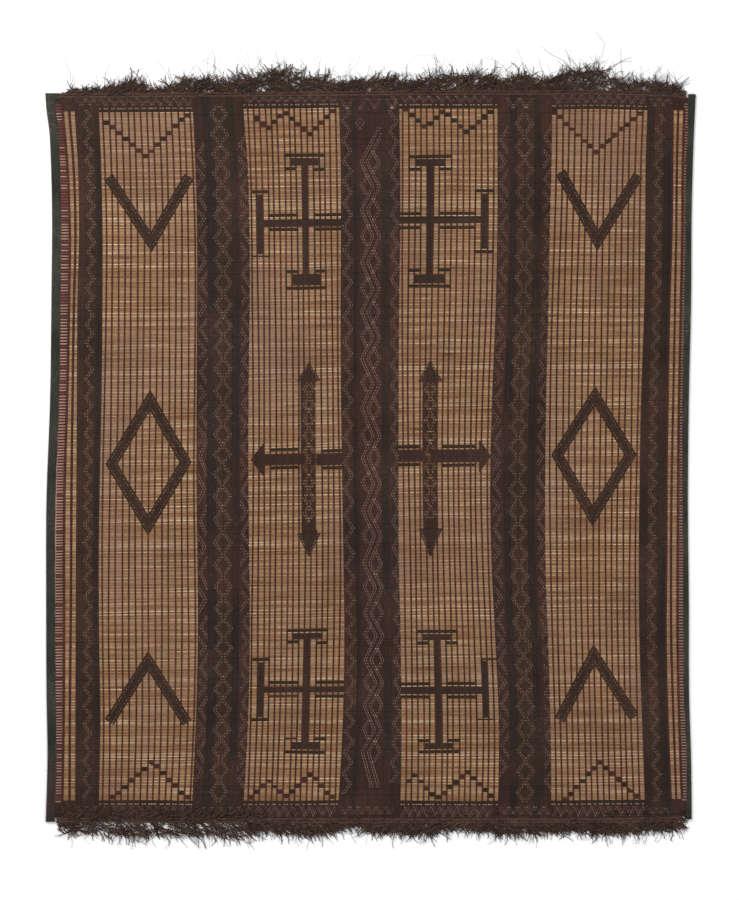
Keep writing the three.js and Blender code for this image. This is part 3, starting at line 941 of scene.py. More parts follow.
@dataclass
class Band:
    """One of the dark bands of leather, with its woven lines of bare reed.

    Attributes:
        name: The piece's name.
        left: The post where it begins.
        right: The post where it ends.
        count: How many strips it has.
        zones: The dyes across it, each from a share of the width on.
        seed: The seed of its unevenness.
    """

    name: str
    left: str
    right: str
    count: int
    zones: tuple[tuple[float, Dye], ...]
    seed: int

    def start(self, chart: Chart) -> None:
        """Lays the strips and dyes them."""
        self.strips = Strips.between(chart, chart.mark(self.left), chart.mark(self.right), self.count)
        self.down = self.strips.down
        self.origin = flow(POSTS[self.left], self.down)
        self.wide = chart.mark(self.right) - chart.mark(self.left)
        self.strips.cover(np.ones_like(self.down, bool), Dye.BROWN)
        for i in range(self.count):
            share = (i + 0.5) / self.count
            begun = [dye for start, dye in self.zones if share >= start]
            zone = len(begun)
            slow = wander(self.seed + 31 * zone, 26)
            quick = wander(self.seed + 7 * i, 9)
            shade = begun[-1].shade[None, :] * (1 + 0.14 * slow + 0.10 * quick)[:, None]
            warm = np.clip(0.35 * slow + 0.35 * wander(self.seed + 13 * zone, 17), 0, 0.5)[:, None]
            self.strips.dye[i] = shade * (1 - warm) + Dye.RUST.shade * warm

    def trace(
        self,
        points: Table,
        gaps: tuple[float, ...] = (0.0, 2.4),
        limits: tuple[float, float] = (0, 60),
        half: float = 0.34,
    ) -> None:
        """Bares the reeds along one line or more.

        Args:
            points: How far right of the band's left edge, and the Y, in rising order of Y.
            gaps: How far each line runs beside the points.
            limits: Between which places it may run.
            half: Half the width of the line.
        """
        places, levels = np.array(points).T
        place = np.interp(self.down, levels, places)
        inside = (self.down >= levels[0]) & (self.down <= levels[-1])
        for gap in gaps:
            near = inside & (place + gap > limits[0]) & (place + gap < limits[1])
            self.strips.dots(self.origin + place + gap, near, half)

    def zigzag(self, low: float, high: float, bends: tuple[float, ...], gap: float = 2.4) -> None:
        """Draws a zigzag of two lines between two places, with the given bends to the left."""
        points = [(low + 3, bends[0] - 15), (high - gap, bends[0] - 8), (low, bends[0])]
        for before, after in zip(bends[:-1], bends[1:]):
            points += [(high - gap, (before + after) / 2), (low, after)]
        self.trace(tuple(points), (0.0, gap))

    def diamonds(self, middle: float, reach: float, nodes: tuple[float, ...]) -> None:
        """Draws a chain of diamonds of two lines between the given nodes."""
        inside = (self.down > nodes[0]) & (self.down < nodes[-1])
        turns = np.interp(self.down, nodes, np.arange(len(nodes)))
        wave = 0.9 + (reach - 0.9) * swing(turns, 0.0, 1.0)
        for side in (-1, 1):
            self.strips.dots(self.origin + middle + side * wave, inside)
            self.strips.dots(self.origin + middle + side * (wave - 2.5), inside & (wave > 2.8))

    def hem(self, top: float, bottom: float, period: float = 8.8) -> None:
        """Draws a small zigzag across the whole band."""
        turns = np.arange(1.5, self.wide, period / 2)
        for k, (before, after) in enumerate(zip(turns[:-1], turns[1:])):
            ends = ((before, bottom if k % 2 else top), (after, top if k % 2 else bottom))
            for gap in (0.0, 2.2):
                self.trace(tuple(sorted(ends, key=lambda end: end[1])), (gap,), (0, self.wide - 0.5), 0.28)

    def chevrons(self, edge: float, bends: tuple[float, ...]) -> None:
        """Draws a wide chevron that points left at each bend and a narrow one to the right between."""
        for y, after in zip(bends, (*bends[1:], bends[-1] + 42)):
            tall = (after - y) * 0.31
            wide = ((edge + 10.2, y - tall), (edge + 2.0, y), (edge + 10.2, y + tall))
            self.trace(wide, (0.0, 2.3), (edge, edge + 10.4))
            y = (y + after) / 2
            narrow = ((edge + 1.4, y - tall * 0.8), (edge + 9.2, y), (edge + 1.4, y + tall * 0.8))
            if y < 794:
                self.trace(narrow, (0.0, -2.7), (edge + 1, edge + 10))

    def build(self, material: Material) -> Object:
        """Makes the piece."""
        return join_leather(self.name, [self.strips.build(self.seed)], material)


def draw_snake(band: Band) -> None:
    """Draws the middle band's great zigzag of two double lines, with a diamond in each bend."""
    lefts = (162.5, 210, 261.5, 312, 358.5, 408.5, 457.7, 511, 563.5, 613, 660, 705.7, 752)
    rights = (186.5, 237, 289, 337.5, 383.5, 436, 483.5, 536, 588, 635.7, 683, 730, 786)
    for left_place, right_place in ((19.8, 30.2), (25.8, 37.0)):
        points = [(left_place + 19.6, 126.0)]
        for left, right in zip(lefts, rights):
            points += [(left_place, left - 1), (left_place, left + 1)]
            points += [(right_place, right - 1), (right_place, right + 1)]
        band.trace(tuple(points), (0.0, 2.3), (17, 41.4))
    for y in lefts:
        band.trace(((33.4, y - 12), (39.4, y), (32.8, y + 12)), (0.0, -2.3))
    for y in rights[:-1]:
        band.trace(((26.4, y - 12), (19.4, y - 1.5), (24.6, y + 9)), (0.0, 2.3))
    band.trace(((20.6, 117), (24.6, 123), (20.6, 129)), (0.0,))
    band.trace(((20.6, 117), (16.6, 123), (20.6, 129)), (0.0,))
    band.trace(((20.6, 121), (20.6, 125)), (0.0,))


def draw_peaks(band: Band, points: Table) -> None:
    """Draws a zigzag of two lines that runs across the top of a band."""
    for start, end in zip(points[:-1], points[1:]):
        band.trace(tuple(sorted((start, end), key=lambda point: point[1])), (0.0, 2.2))


@dataclass
class Panel:
    """A tan panel: bare reeds under laces, with the woven motifs in broad leather.

    Attributes:
        name: The piece's name.
        left: The post where it begins.
        right: The post where it ends.
        count: How many laces it has.
        depth: How many reeds its top border covers.
        seed: The seed of its unevenness.
    """

    name: str
    left: str
    right: str
    count: int
    depth: int
    seed: int
    steps: int = 2
    patches: list[Strips] = field(default_factory=list)

    def start(self, chart: Chart) -> None:
        """Lays the laces and, between them, the places for broad strips."""
        first, last = chart.mark(self.left + "_first"), chart.mark(self.left + "_last")
        places = np.linspace(first, last, self.count)
        self.laces = Laces(places, self.depth // 2, PAIRS - BOTTOM_DEPTH // 2)
        edges = [(chart.mark(self.left), first - 0.4)]
        for a, b in zip(places[:-1], places[1:]):
            inner = np.linspace(a + 0.35, b - 0.35, self.steps + 1)
            edges += list(zip(inner[:-1], inner[1:]))
        edges.append((last + 0.4, chart.mark(self.right)))
        self.strips = Strips(chart, np.array(edges))
        self.middle, self.down = self.strips.middle, self.strips.down
        inner = self.middle[1:-1].reshape(-1, self.steps, REEDS).mean(axis=1).repeat(self.steps, axis=0)
        self.gap = np.concatenate([self.middle[:1], inner, self.middle[-1:]])

    def block(self, left: float, right: float, top: float, bottom: float, dye: Dye = Dye.BROWN) -> None:
        """Covers whole columns between two heights."""
        rows = (self.down > top) & (self.down < bottom)
        place = (self.gap * rows).sum(axis=1) / np.maximum(rows.sum(axis=1), 1)
        inside = np.tile(((place > left) & (place < right))[:, None], (1, rows.shape[1]))
        share = inside / np.maximum(inside.sum(axis=0), 1)
        level = (self.down * share).sum(axis=0)
        self.strips.cover(inside & (level > top) & (level < bottom), dye)

    def outline(self, left: float, right: float, y: float) -> None:
        """Draws a level black line, one pair of reeds thick."""
        self.block(left, right, y - 1.36, y + 1.36, Dye.BLACK)

    def upright(self, x: float, top: float, bottom: float) -> None:
        """Blackens the lace nearest to a place, between two heights."""
        self.laces.black.append((x, top, bottom))

    def slab(self, top: tuple[float, ...], bottom: tuple[float, ...], dye: Dye = Dye.BROWN) -> None:
        """Covers a shape with slanting sides; each end is its Y, its left X and its right X."""
        share = (self.down - top[0]) / (bottom[0] - top[0])
        inside = (share >= 0) & (share <= 1)
        left = top[1] + share * (bottom[1] - top[1])
        right = top[2] + share * (bottom[2] - top[2])
        self.strips.lay(left, right, inside, dye)

    def arm(
        self, tip: tuple[float, float], foot: tuple[float, float], square: bool, run: float = 12.2
    ) -> None:
        """Weaves a slanting arm, dark at its sides and with a dotted line along each of them.

        Args:
            tip: The middle of the end where it meets its mirror image in a point.
            foot: The middle of its other end.
            square: Whether that end is cut square to the arm, or else level.
            run: Its width, measured level.
        """
        half = run / 2
        slope = (foot[0] - tip[0]) / (foot[1] - tip[1])
        middle = tip[0] + slope * (self.down - tip[1])
        end = foot[0] - (self.down - foot[1]) / slope
        left, right = middle - half, middle + half
        leftward = foot[0] < tip[0]
        left = np.maximum(left, (end if square else left) if leftward else tip[0])
        right = np.minimum(right, tip[0] if leftward else (end if square else right))
        inside = right > left
        if not square:
            inside &= (self.down - foot[1]) * (foot[1] - tip[1]) < 0
        self.strips.lay(left, right, inside, Dye.BROWN)
        away = np.abs(self.middle - middle)
        rim = (away > half - 1.4) | (square & (np.abs(self.middle - end) < 2))
        rim = rim & inside & (self.middle > left - 1.5) & (self.middle < right + 1.5)
        self.strips.dye[rim] = Dye.BLACK.shade
        for side in (-1, 1):
            place = middle + side * (half - 2.5)
            self.strips.dots(place, inside & (place > left + 0.8) & (place < right - 0.8), 0.36)
        if square:
            place = end + (4.2 if leftward else -4.2)
            self.strips.dots(place, inside & (place > left + 2) & (place < right - 2), 0.5)

    def stairs(self, corners: Table, tall: float = 4.3) -> None:
        """Sets a block in each column along a zigzag of corners, some of them black and some rusty."""
        places = np.array(corners)
        level = np.interp(self.gap, places[:, 0], places[:, 1])
        inside = (self.gap > places[0, 0] - 3) & (self.gap < places[-1, 0] + 3)
        inside &= np.abs(self.down - level) < tall / 2
        column = (np.arange(len(self.gap)) - 1) // self.steps
        rusty = (np.sin(column * 2.1 + self.seed) > -0.1)[:, None]
        self.strips.cover(inside & rusty, Dye.RUST)
        self.strips.cover(inside & ~rusty, Dye.BLACK)

    def build(self, chart: Chart, material: Material) -> Object:
        """Makes the piece."""
        parts = [self.laces.build(chart, self.seed, self.strips), self.strips.build(self.seed + 5, 0.15)]
        parts += [patch.build(self.seed + 6, -0.75) for patch in self.patches]
        return join_leather(self.name, parts, material)


@dataclass(frozen=True)
class Cross:
    """An armed cross with black outlines.

    Attributes:
        head: Left, right, top and bottom of the upper end's outline.
        foot: The same of the lower end.
        stem: Left and right of the upright.
        bar: Top and bottom of the level arm.
        side: The near X, the far X, the top and the bottom of the outer end's outline.
        end: Left and right of the outer end itself.
        inner: Where the level arm meets the middle band.
    """

    head: tuple[float, float, float, float]
    foot: tuple[float, float, float, float]
    stem: tuple[float, float]
    bar: tuple[float, float]
    side: tuple[float, float, float, float]
    end: tuple[float, float]
    inner: float

    def weave(self, panel: Panel) -> None:
        """Weaves the cross into a panel."""
        left, right = self.stem
        low, high = left - 4.6, right + 4.6
        for (a, b, top, bottom), opens in ((self.head, True), (self.foot, False)):
            outer, inner = (top + 1.4, bottom - 1.4) if opens else (bottom - 1.4, top + 1.4)
            panel.outline(a, b, outer)
            panel.outline(a, low, inner)
            panel.outline(high, b, inner)
            panel.upright(a + 1, top, bottom)
            panel.upright(b - 1, top, bottom)
            panel.block(a + 4.8, b - 4.8, top + 4.9, bottom - 4.3)
        top, bottom = self.bar
        for a, b in ((self.head[3] - 2, top - 2), (bottom + 2, self.foot[2] + 2)):
            panel.upright(low, a, b)
            panel.upright(high, a, b)
        near, far, up, down = self.side
        way = 1 if far > near else -1
        for y in (top - 3.6, bottom + 3.6):
            panel.outline(min(near, self.inner), low, y)
            panel.outline(high, max(near, self.inner), y)
        panel.outline(min(near, far), max(near, far), up + 1.4)
        panel.outline(min(near, far), max(near, far), down - 1.4)
        for a, b in ((up, top - 2), (bottom + 2, down)):
            panel.upright(near + way, a, b)
        panel.upright(far - way, up, down)
        panel.block(self.end[0] - 0.5, self.end[1] + 0.5, up + 4, down - 4)
        panel.block(left, right, self.head[3] - 6, self.foot[2] + 6)
        panel.block(min(self.inner, self.end[0]), max(self.inner, self.end[1]), top, bottom)


@dataclass(frozen=True)
class ArrowCross:
    """A cross with a patterned pillar and arrowheads.

    Attributes:
        pillar: Left, right, top and bottom of the upright.
        tips: The Y of the upper and of the lower arrowhead's point.
        bar: The inner and the outer end, the top and the bottom of the level arm.
        point: The outer arrowhead's base X, tip X, top and bottom.
        lines: The Y of the black lines above and below the arm.
    """

    pillar: tuple[float, float, float, float]
    tips: tuple[float, float]
    bar: tuple[float, float, float, float]
    point: tuple[float, float, float, float]
    lines: tuple[float, float]

    def weave(self, panel: Panel) -> None:
        """Weaves the cross into a panel."""
        left, right, top, bottom = self.pillar
        middle = (left + right) / 2
        panel.laces.gone.append((left - 0.4, right + 0.4, top + 1, bottom - 4))
        patch = Strips.between(panel.strips.chart, left, right, 6)
        patch.cover((patch.down > top) & (patch.down < bottom), Dye.PLUM)
        panel.patches.append(patch)
        inner, outer, up, down = self.bar
        low, high = min(inner, outer), max(inner, outer)
        panel.block(low, left + 4, up, down, Dye.PLUM)
        panel.block(right - 4, high, up, down, Dye.PLUM)
        inside = (patch.down > top) & (patch.down < bottom - 11)
        wave = 0.6 + ((right - left) / 2 - 1.9) * swing(patch.down, top, 15.6)
        for side in (-1, 1):
            patch.dots(middle + side * wave, inside, 0.6)
            patch.dots(middle + side * (wave - 2.3), inside & (wave > 2.6), 0.6)
        for tip, base in zip(self.tips, (top, bottom)):
            ends = sorted(((tip, middle - 0.6, middle + 0.6), (base, middle - 11.8, middle + 11.8)))
            panel.slab(*ends)
            share = (panel.down - base) / (tip - base)
            for way in (-1, 1):
                panel.strips.dots(middle + way * (9.8 - 10.0 * share), (share > 0) & (share < 0.85), 0.4)
        base, tip, high_point, low_point = self.point
        level = (high_point + low_point) / 2
        ends = sorted((base, tip))
        for y in (high_point, low_point):
            slabs = sorted(((y, base, base), (level, *ends)))
            panel.slab(*slabs, Dye.PLUM)
        for y in self.lines:
            panel.outline(low + (5 if outer < inner else 0), left - 4.4, y)
            panel.outline(right + 4.4, high - (5 if outer > inner else 0), y)


def weave_motifs(panels: list[Panel]) -> None:
    """Weaves every motif of the four panels."""
    first, second, third, fourth = panels
    for panel, corners in (
        (first, ((106.5, 122), (146, 156.5), (186, 115))),
        (fourth, ((554.9, 112), (595.7, 152), (639.5, 113.6))),
        (first, ((113.5, 797.5), (152.3, 761.5), (185.7, 797))),
        (fourth, ((565, 800), (600, 762), (636, 796.5))),
        (second, ((255.7, 117.7), (268, 128.9), (284, 112), (310, 134), (331.5, 111.6))),
        (third, ((406.8, 109.7), (425.3, 128), (443.1, 110.4), (467.1, 133), (490, 111.6))),
        (second, ((250, 798), (268.5, 780), (285, 797.5), (310.7, 773.6), (331, 797))),
        (third, ((409, 781.6), (415.2, 775.5), (436.6, 799), (468, 771.6), (490, 796))),
    ):
        panel.stairs(corners)
    for panel, square, tip, feet in (
        (first, True, (151.2, 242.1), ((108.5, 177.2), (188.8, 176.6))),
        (first, True, (148, 660.8), ((109.2, 722), (187, 722.6))),
        (first, False, (150, 400), ((111.5, 464), (185.5, 462.2))),
        (first, False, (148, 525.4), ((111.5, 464), (185.5, 462.2))),
        (fourth, True, (597.6, 240.5), ((560.4, 172.3), (638.2, 175.4))),
        (fourth, True, (594, 654.7), ((559.5, 720), (634.1, 717.1))),
        (fourth, False, (595, 396), ((557.3, 455), (630.4, 454.5))),
        (fourth, False, (592.7, 516), ((557.3, 455), (630.4, 454.5))),
    ):
        for foot in feet:
            panel.arm(tip, foot, square)
    for panel, cross in (
        (second, Cross(
            (284, 326, 153.6, 170.3), (286, 327.5, 269.7, 288.9), (302.6, 310.4), (218.7, 225.9),
            (268.5, 251.7, 191, 257.8), (256.5, 263), 341,
        )),
        (third, Cross(
            (410, 453, 154.4, 170.3), (408, 450, 269, 287.6), (426.4, 434.9), (216.8, 223.6),
            (477, 493.5, 188.8, 252.5), (482, 489), 400,
        )),
        (second, Cross(
            (286.5, 327.5, 628.6, 643.6), (284.4, 326, 737, 754), (303.6, 311.6), (686.2, 692.6),
            (269, 252.5, 658, 721.3), (257.3, 263), 342,
        )),
        (third, Cross(
            (418.5, 458, 629.5, 644), (419, 459.6, 738.5, 753.3), (434.4, 442), (687.3, 693.8),
            (478, 495.6, 657.6, 721), (483.3, 489.4), 402,
        )),
        (second, ArrowCross(
            (301.6, 316.0, 381, 533), (363, 556.5), (341, 263, 454, 464.5),
            (263.5, 250.5, 443, 476.5), (450, 468),
        )),
        (third, ArrowCross(
            (423.0, 437.6, 381, 528.6), (361, 556), (400, 479.5, 450, 461.6),
            (479, 491, 439.5, 472.5), (446.8, 465),
        )),
    ):
        cross.weave(panel)


@dataclass
class Border:
    """The leather border at one end of the four panels, with its small zigzag.

    Attributes:
        name: The piece's name.
        top: Whether it is the upper border.
        period: The width of one turn of the zigzag.
        pitch: The width of its strips.
    """

    name: str
    top: bool
    period: float = 9.2
    pitch: float = 2.3

    def build(self, chart: Chart, panels: list[Panel], material: Material) -> Object:
        """Makes the piece, down to where each panel's bare reeds begin."""
        parts = []
        for panel in panels:
            low, high = chart.mark(panel.left), chart.mark(panel.right)
            strips = Strips.between(chart, low, high, int((high - low) / self.pitch))
            reeds = strips.reeds if self.top else REEDS - 1 - strips.reeds
            depth = panel.depth if self.top else BOTTOM_DEPTH
            strips.cover(reeds < depth, Dye.PLUM)
            strips.cover((reeds < depth) & (reeds >= depth - 2), Dye.BLACK)
            start, end = (0.2, depth - 4.4) if self.top else (1.2, depth - 3.6)
            edge = flow(POSTS[panel.left], strips.down)
            for k in range(int((high - low) / self.period * 2)):
                share = (reeds + 0.5 - start) / (end - start)
                share = share if k % 2 == 0 else 1 - share
                inside = (reeds + 0.5 > start) & (reeds + 0.5 < end)
                strips.cut(edge + 1.4 + (k + share) * self.period / 2, inside, 0.3)
                strips.cut(edge + 3.6 + (k + share) * self.period / 2, inside & (share < 0.8), 0.26)
            row = reeds == depth - 3
            near = np.abs(strips.edges.mean(axis=1)[:, None] - panel.laces.places[None, :]).min(axis=1) < 0.9
            strips.cut(strips.middle, row & ~near[:, None], 0.9)
            parts.append(strips.build(panel.seed + 11))
        return join_leather(self.name, parts, material)


@dataclass
class Margin:
    """The narrow margin beside a binding: a ladder of red leather and two or three tan stripes.

    Attributes:
        name: The piece's name.
        ladder: The posts between which the ladder runs.
        stripes: The posts between which the tan stripes run.
        laces: Where the laces stand, as shares of the stripes' width.
        count: How many strips the ladder has.
        seed: The seed of its unevenness.
        dull: The share of the ladder's rungs that is covered, from the top down.
    """

    name: str
    ladder: tuple[str, str]
    stripes: tuple[str, str]
    laces: tuple[float, ...]
    count: int
    seed: int
    dull: tuple[float, float, float] = (0.72, 0.6, 0.1)

    def build(self, chart: Chart, material: Material) -> Object:
        """Makes the piece."""
        strips = Strips.between(chart, *(chart.mark(name) for name in self.ladder), self.count)
        ends = (strips.reeds < 3) | (strips.reeds > REEDS - 11)
        second = strips.reeds % 2 == 1
        strips.cover(second, Dye.RED)
        fade = (0.62 + 0.38 * wander(self.seed, 40))[None, :, None].clip(0.2, 1)
        strips.dye = strips.dye * fade + Dye.BROWN.shade * (1 - fade)
        dull = np.random.default_rng(self.seed).random(REEDS // 2).repeat(2)[None, :]
        dull = dull < np.interp(strips.down, (110, 230, 330), self.dull)
        strips.cover(dull & ~second, Dye.ROSE)
        strips.cover(ends, Dye.BROWN)
        a, b = (chart.mark(name) for name in self.stripes)
        caps = Strips.between(chart, a, b, 5)
        caps.cover((caps.reeds < 9) | (caps.reeds > REEDS - 13), Dye.PLUM)
        laces = Laces(a + np.array(self.laces) * (b - a), 4, PAIRS - 6, 1.25)
        parts = [strips.build(self.seed), caps.build(self.seed + 1), laces.build(chart, self.seed + 2)]
        return join_leather(self.name, parts, material)


def point_cloud(name: str, points: Array) -> Object:
    """Makes an object of loose points for a geometry tree to work on."""
    mesh = bpy.data.meshes.new(name)
    mesh.from_pydata([tuple(point) for point in points], [], [])
    return put_in_scene(name, mesh)


class Modeller(Painter):
    """Adds the nodes of a geometry tree and runs it on a mesh."""

    def __init__(self, name: str, sizes: dict[str, float]) -> None:
        """Starts a geometry tree.

        Args:
            name: The tree's name.
            sizes: Its named inputs and their values.
        """
        super().__init__(bpy.data.node_groups.new(name, "GeometryNodeTree"))
        face = self.tree.interface
        face.new_socket(name="Geometry", in_out="INPUT", socket_type="NodeSocketGeometry")
        self.keys = {}
        for key in sizes:
            socket = face.new_socket(name=key, in_out="INPUT", socket_type="NodeSocketFloat")
            self.keys[key] = socket.identifier
        face.new_socket(name="Geometry", in_out="OUTPUT", socket_type="NodeSocketGeometry")
        self.sizes = sizes
        self.given = self.add("NodeGroupInput").outputs

    def read(self, name: str, kind: str = "FLOAT") -> Socket:
        """Reads a named attribute."""
        return self.add("GeometryNodeInputNamedAttribute", {"Name": name}, data_type=kind).outputs[0]

    def choose(self, share: Socket, yes: float | Socket, no: float | Socket) -> Socket:
        """Goes from one value to another as the share goes from 0 to 1."""
        return self.add("ShaderNodeMix", {0: share, 2: no, 3: yes}, data_type="FLOAT").outputs[0]

    def position(self) -> bpy.types.NodeOutputs:
        """The three parts of a point's position."""
        return self.split(self.add("GeometryNodeInputPosition").outputs[0])

    def move(self, geometry: Socket, place: Socket) -> Socket:
        """Sets the position of every point."""
        return self.add("GeometryNodeSetPosition", {"Geometry": geometry, "Position": place}).outputs[0]

    def close(self, geometry: Socket, material: Material) -> None:
        """Ends the tree in Realize Instances and Set Material."""
        real = self.add("GeometryNodeRealizeInstances", {"Geometry": geometry}).outputs[0]
        done = self.add("GeometryNodeSetMaterial", {"Geometry": real, "Material": material}).outputs[0]
        self.add("NodeGroupOutput", {"Geometry": done})

    def run(self, source: Object, name: str) -> Object:
        """Runs the tree on an object and keeps the result as a plain mesh.

        Args:
            source: The object that carries the points; it is taken away afterwards.
            name: The finished piece's name.

        Returns:
            The finished piece.
        """
        modifier = source.modifiers.new(self.tree.name, "NODES")
        modifier.node_group = self.tree
        for key, value in self.sizes.items():
            modifier[self.keys[key]] = value
        view = bpy.context.evaluated_depsgraph_get()
        mesh = bpy.data.meshes.new_from_object(source.evaluated_get(view), depsgraph=view)
        source.modifiers.remove(modifier)
        mesh.name = name
        mesh.polygons.foreach_set("use_smooth", np.ones(len(mesh.polygons), dtype=bool))
        piece = bpy.data.objects.new(name, mesh)
        bpy.context.scene.collection.objects.link(piece)
        bpy.data.objects.remove(source)
        return piece


@dataclass
class StrawBed:
    """The bed of reeds: one closed sheet, ridged by its pairs of reeds on both sides."""

    name: str = "reed_bed"
    seed: int = 3

    def columns(self, chart: Chart) -> tuple[Array, Array]:
        """The nominal X of each column, and how far the reeds are stained there."""
        places, stains = [], []
        names = chart.names
        bare = [name.startswith("panel") or name.endswith("margin") for name in names]
        for k, (left, right) in enumerate(zip(names[:-1], names[1:])):
            low, high = chart.mark(left), chart.mark(right)
            low += 0.8 if k == 0 else 0.4
            high -= 0.8 if k == len(names) - 2 else 0.4
            between = np.linspace(low, high, 3 if left.endswith("first") else 2)
            if k and bare[k] == bare[k - 1]:
                between = between[1:]
            places += list(between)
            stains += [0.0 if bare[k] else 0.75] * len(between)
        return np.array(places), np.array(stains)

    def rungs(self, chart: Chart, places: Array) -> Array:
        """Marks the columns under the two ladders, whose bare reeds get painted shade."""
        left = (places > chart.mark("left_ladder")) & (places < chart.mark("left_margin"))
        return left | ((places > chart.mark("right_ladder")) & (places < chart.mark("right_binding")))

    def build(self, chart: Chart, material: Material) -> Object:
        """Makes the piece with a geometry tree that raises the ridges."""
        places, stains = self.columns(chart)
        rows = np.arange(4 * PAIRS + 1) / 4
        across, down = chart.grid(places, rows)
        random = np.random.default_rng(self.seed)
        nudge = random.normal(0, 0.07, across.shape)
        nudge[[0, -1]] = 0
        down = down + nudge
        count, lines = len(places), len(rows)
        top = chart.lay(across, down, 2.0)
        points = np.concatenate([top, top - [0, 0, 0.001]])
        index = np.arange(lines * count).reshape(lines, count)
        a, b, c, d = index[1:, :-1], index[1:, 1:], index[:-1, 1:], index[:-1, :-1]
        upper = np.stack([a, b, c, d], axis=-1).reshape(-1, 4)
        lower = upper[:, ::-1] + lines * count
        under = index + lines * count
        walls = [
            np.stack([index[1:, 0], index[:-1, 0], under[:-1, 0], under[1:, 0]], axis=1),
            np.stack([index[:-1, -1], index[1:, -1], under[1:, -1], under[:-1, -1]], axis=1),
            np.stack([index[0, :-1], index[0, 1:], under[0, 1:], under[0, :-1]], axis=1),
            np.stack([index[-1, 1:], index[-1, :-1], under[-1, :-1], under[-1, 1:]], axis=1),
        ]
        source = new_piece(self.name + "_plan", points, np.concatenate([upper, lower, *walls]), material)
        reed = np.tile((rows * 2).repeat(count), 2)
        paint_points(source.data, "reed", reed)
        paint_points(source.data, "face", np.repeat([1.0, 0.0], lines * count))
        hem = (rows * 2 < 7.6) | (rows * 2 > REEDS - 10.6)
        stained = np.maximum(stains[None, :], 0.75 * hem[:, None])
        # Painted shade: darker on the reeds under the two ladders and in the top and bottom hem rows.
        shade = np.where(self.rungs(chart, places), 0.7, 1.0)[None, :] * np.where(hem, 0.74, 1.0)[:, None]
        paint_points(source.data, "stain", np.tile(stained.ravel(), 2))
        paint_points(source.data, "shade", np.tile(shade.ravel(), 2))
        lift = chart.rim(across, down).ravel() + random.normal(0, 0.09, lines * count)
        under_lift = chart.rim(across, down).ravel()
        paint_points(source.data, "lift", np.concatenate([lift, under_lift]) * 0.001)
        return self.tree(material).run(source, self.name)

    def tree(self, material: Material) -> Modeller:
        """Builds the tree that raises a ridge for each reed, the second of a pair a little lower."""
        sizes = {
            "First Reed": REED_TOPS[1] * 0.001,
            "Second Reed": REED_TOPS[3] * 0.001,
            "Groove": REED_TOPS[0] * 0.001,
            "Groove In Pair": REED_TOPS[2] * 0.001,
            "Underside": REED_UNDERSIDE * 0.001,
        }
        model = Modeller("reed ridges", sizes)
        given = model.given
        reed = model.read("reed")
        ridge = model.math("PINGPONG", model.times(reed, 2.0), 1.0)
        parity = model.math("LESS_THAN", model.math("FRACT", model.times(reed, 0.5)), 0.5)
        inner = model.math("COMPARE", model.math("MODULO", reed, 2.0), 1.0)

        crest = model.choose(parity, given["First Reed"], given["Second Reed"])
        trough = model.choose(inner, given["Groove In Pair"], given["Groove"])
        above = model.choose(ridge, crest, trough)
        below = model.choose(ridge, model.times(given["Underside"], 0.0), given["Underside"])
        level = model.choose(model.read("face"), above, below)
        level = model.plus(level, model.read("lift"))
        parts = model.position()
        model.close(model.move(given["Geometry"], model.vector(parts[0], parts[1], level)), material)
        return model


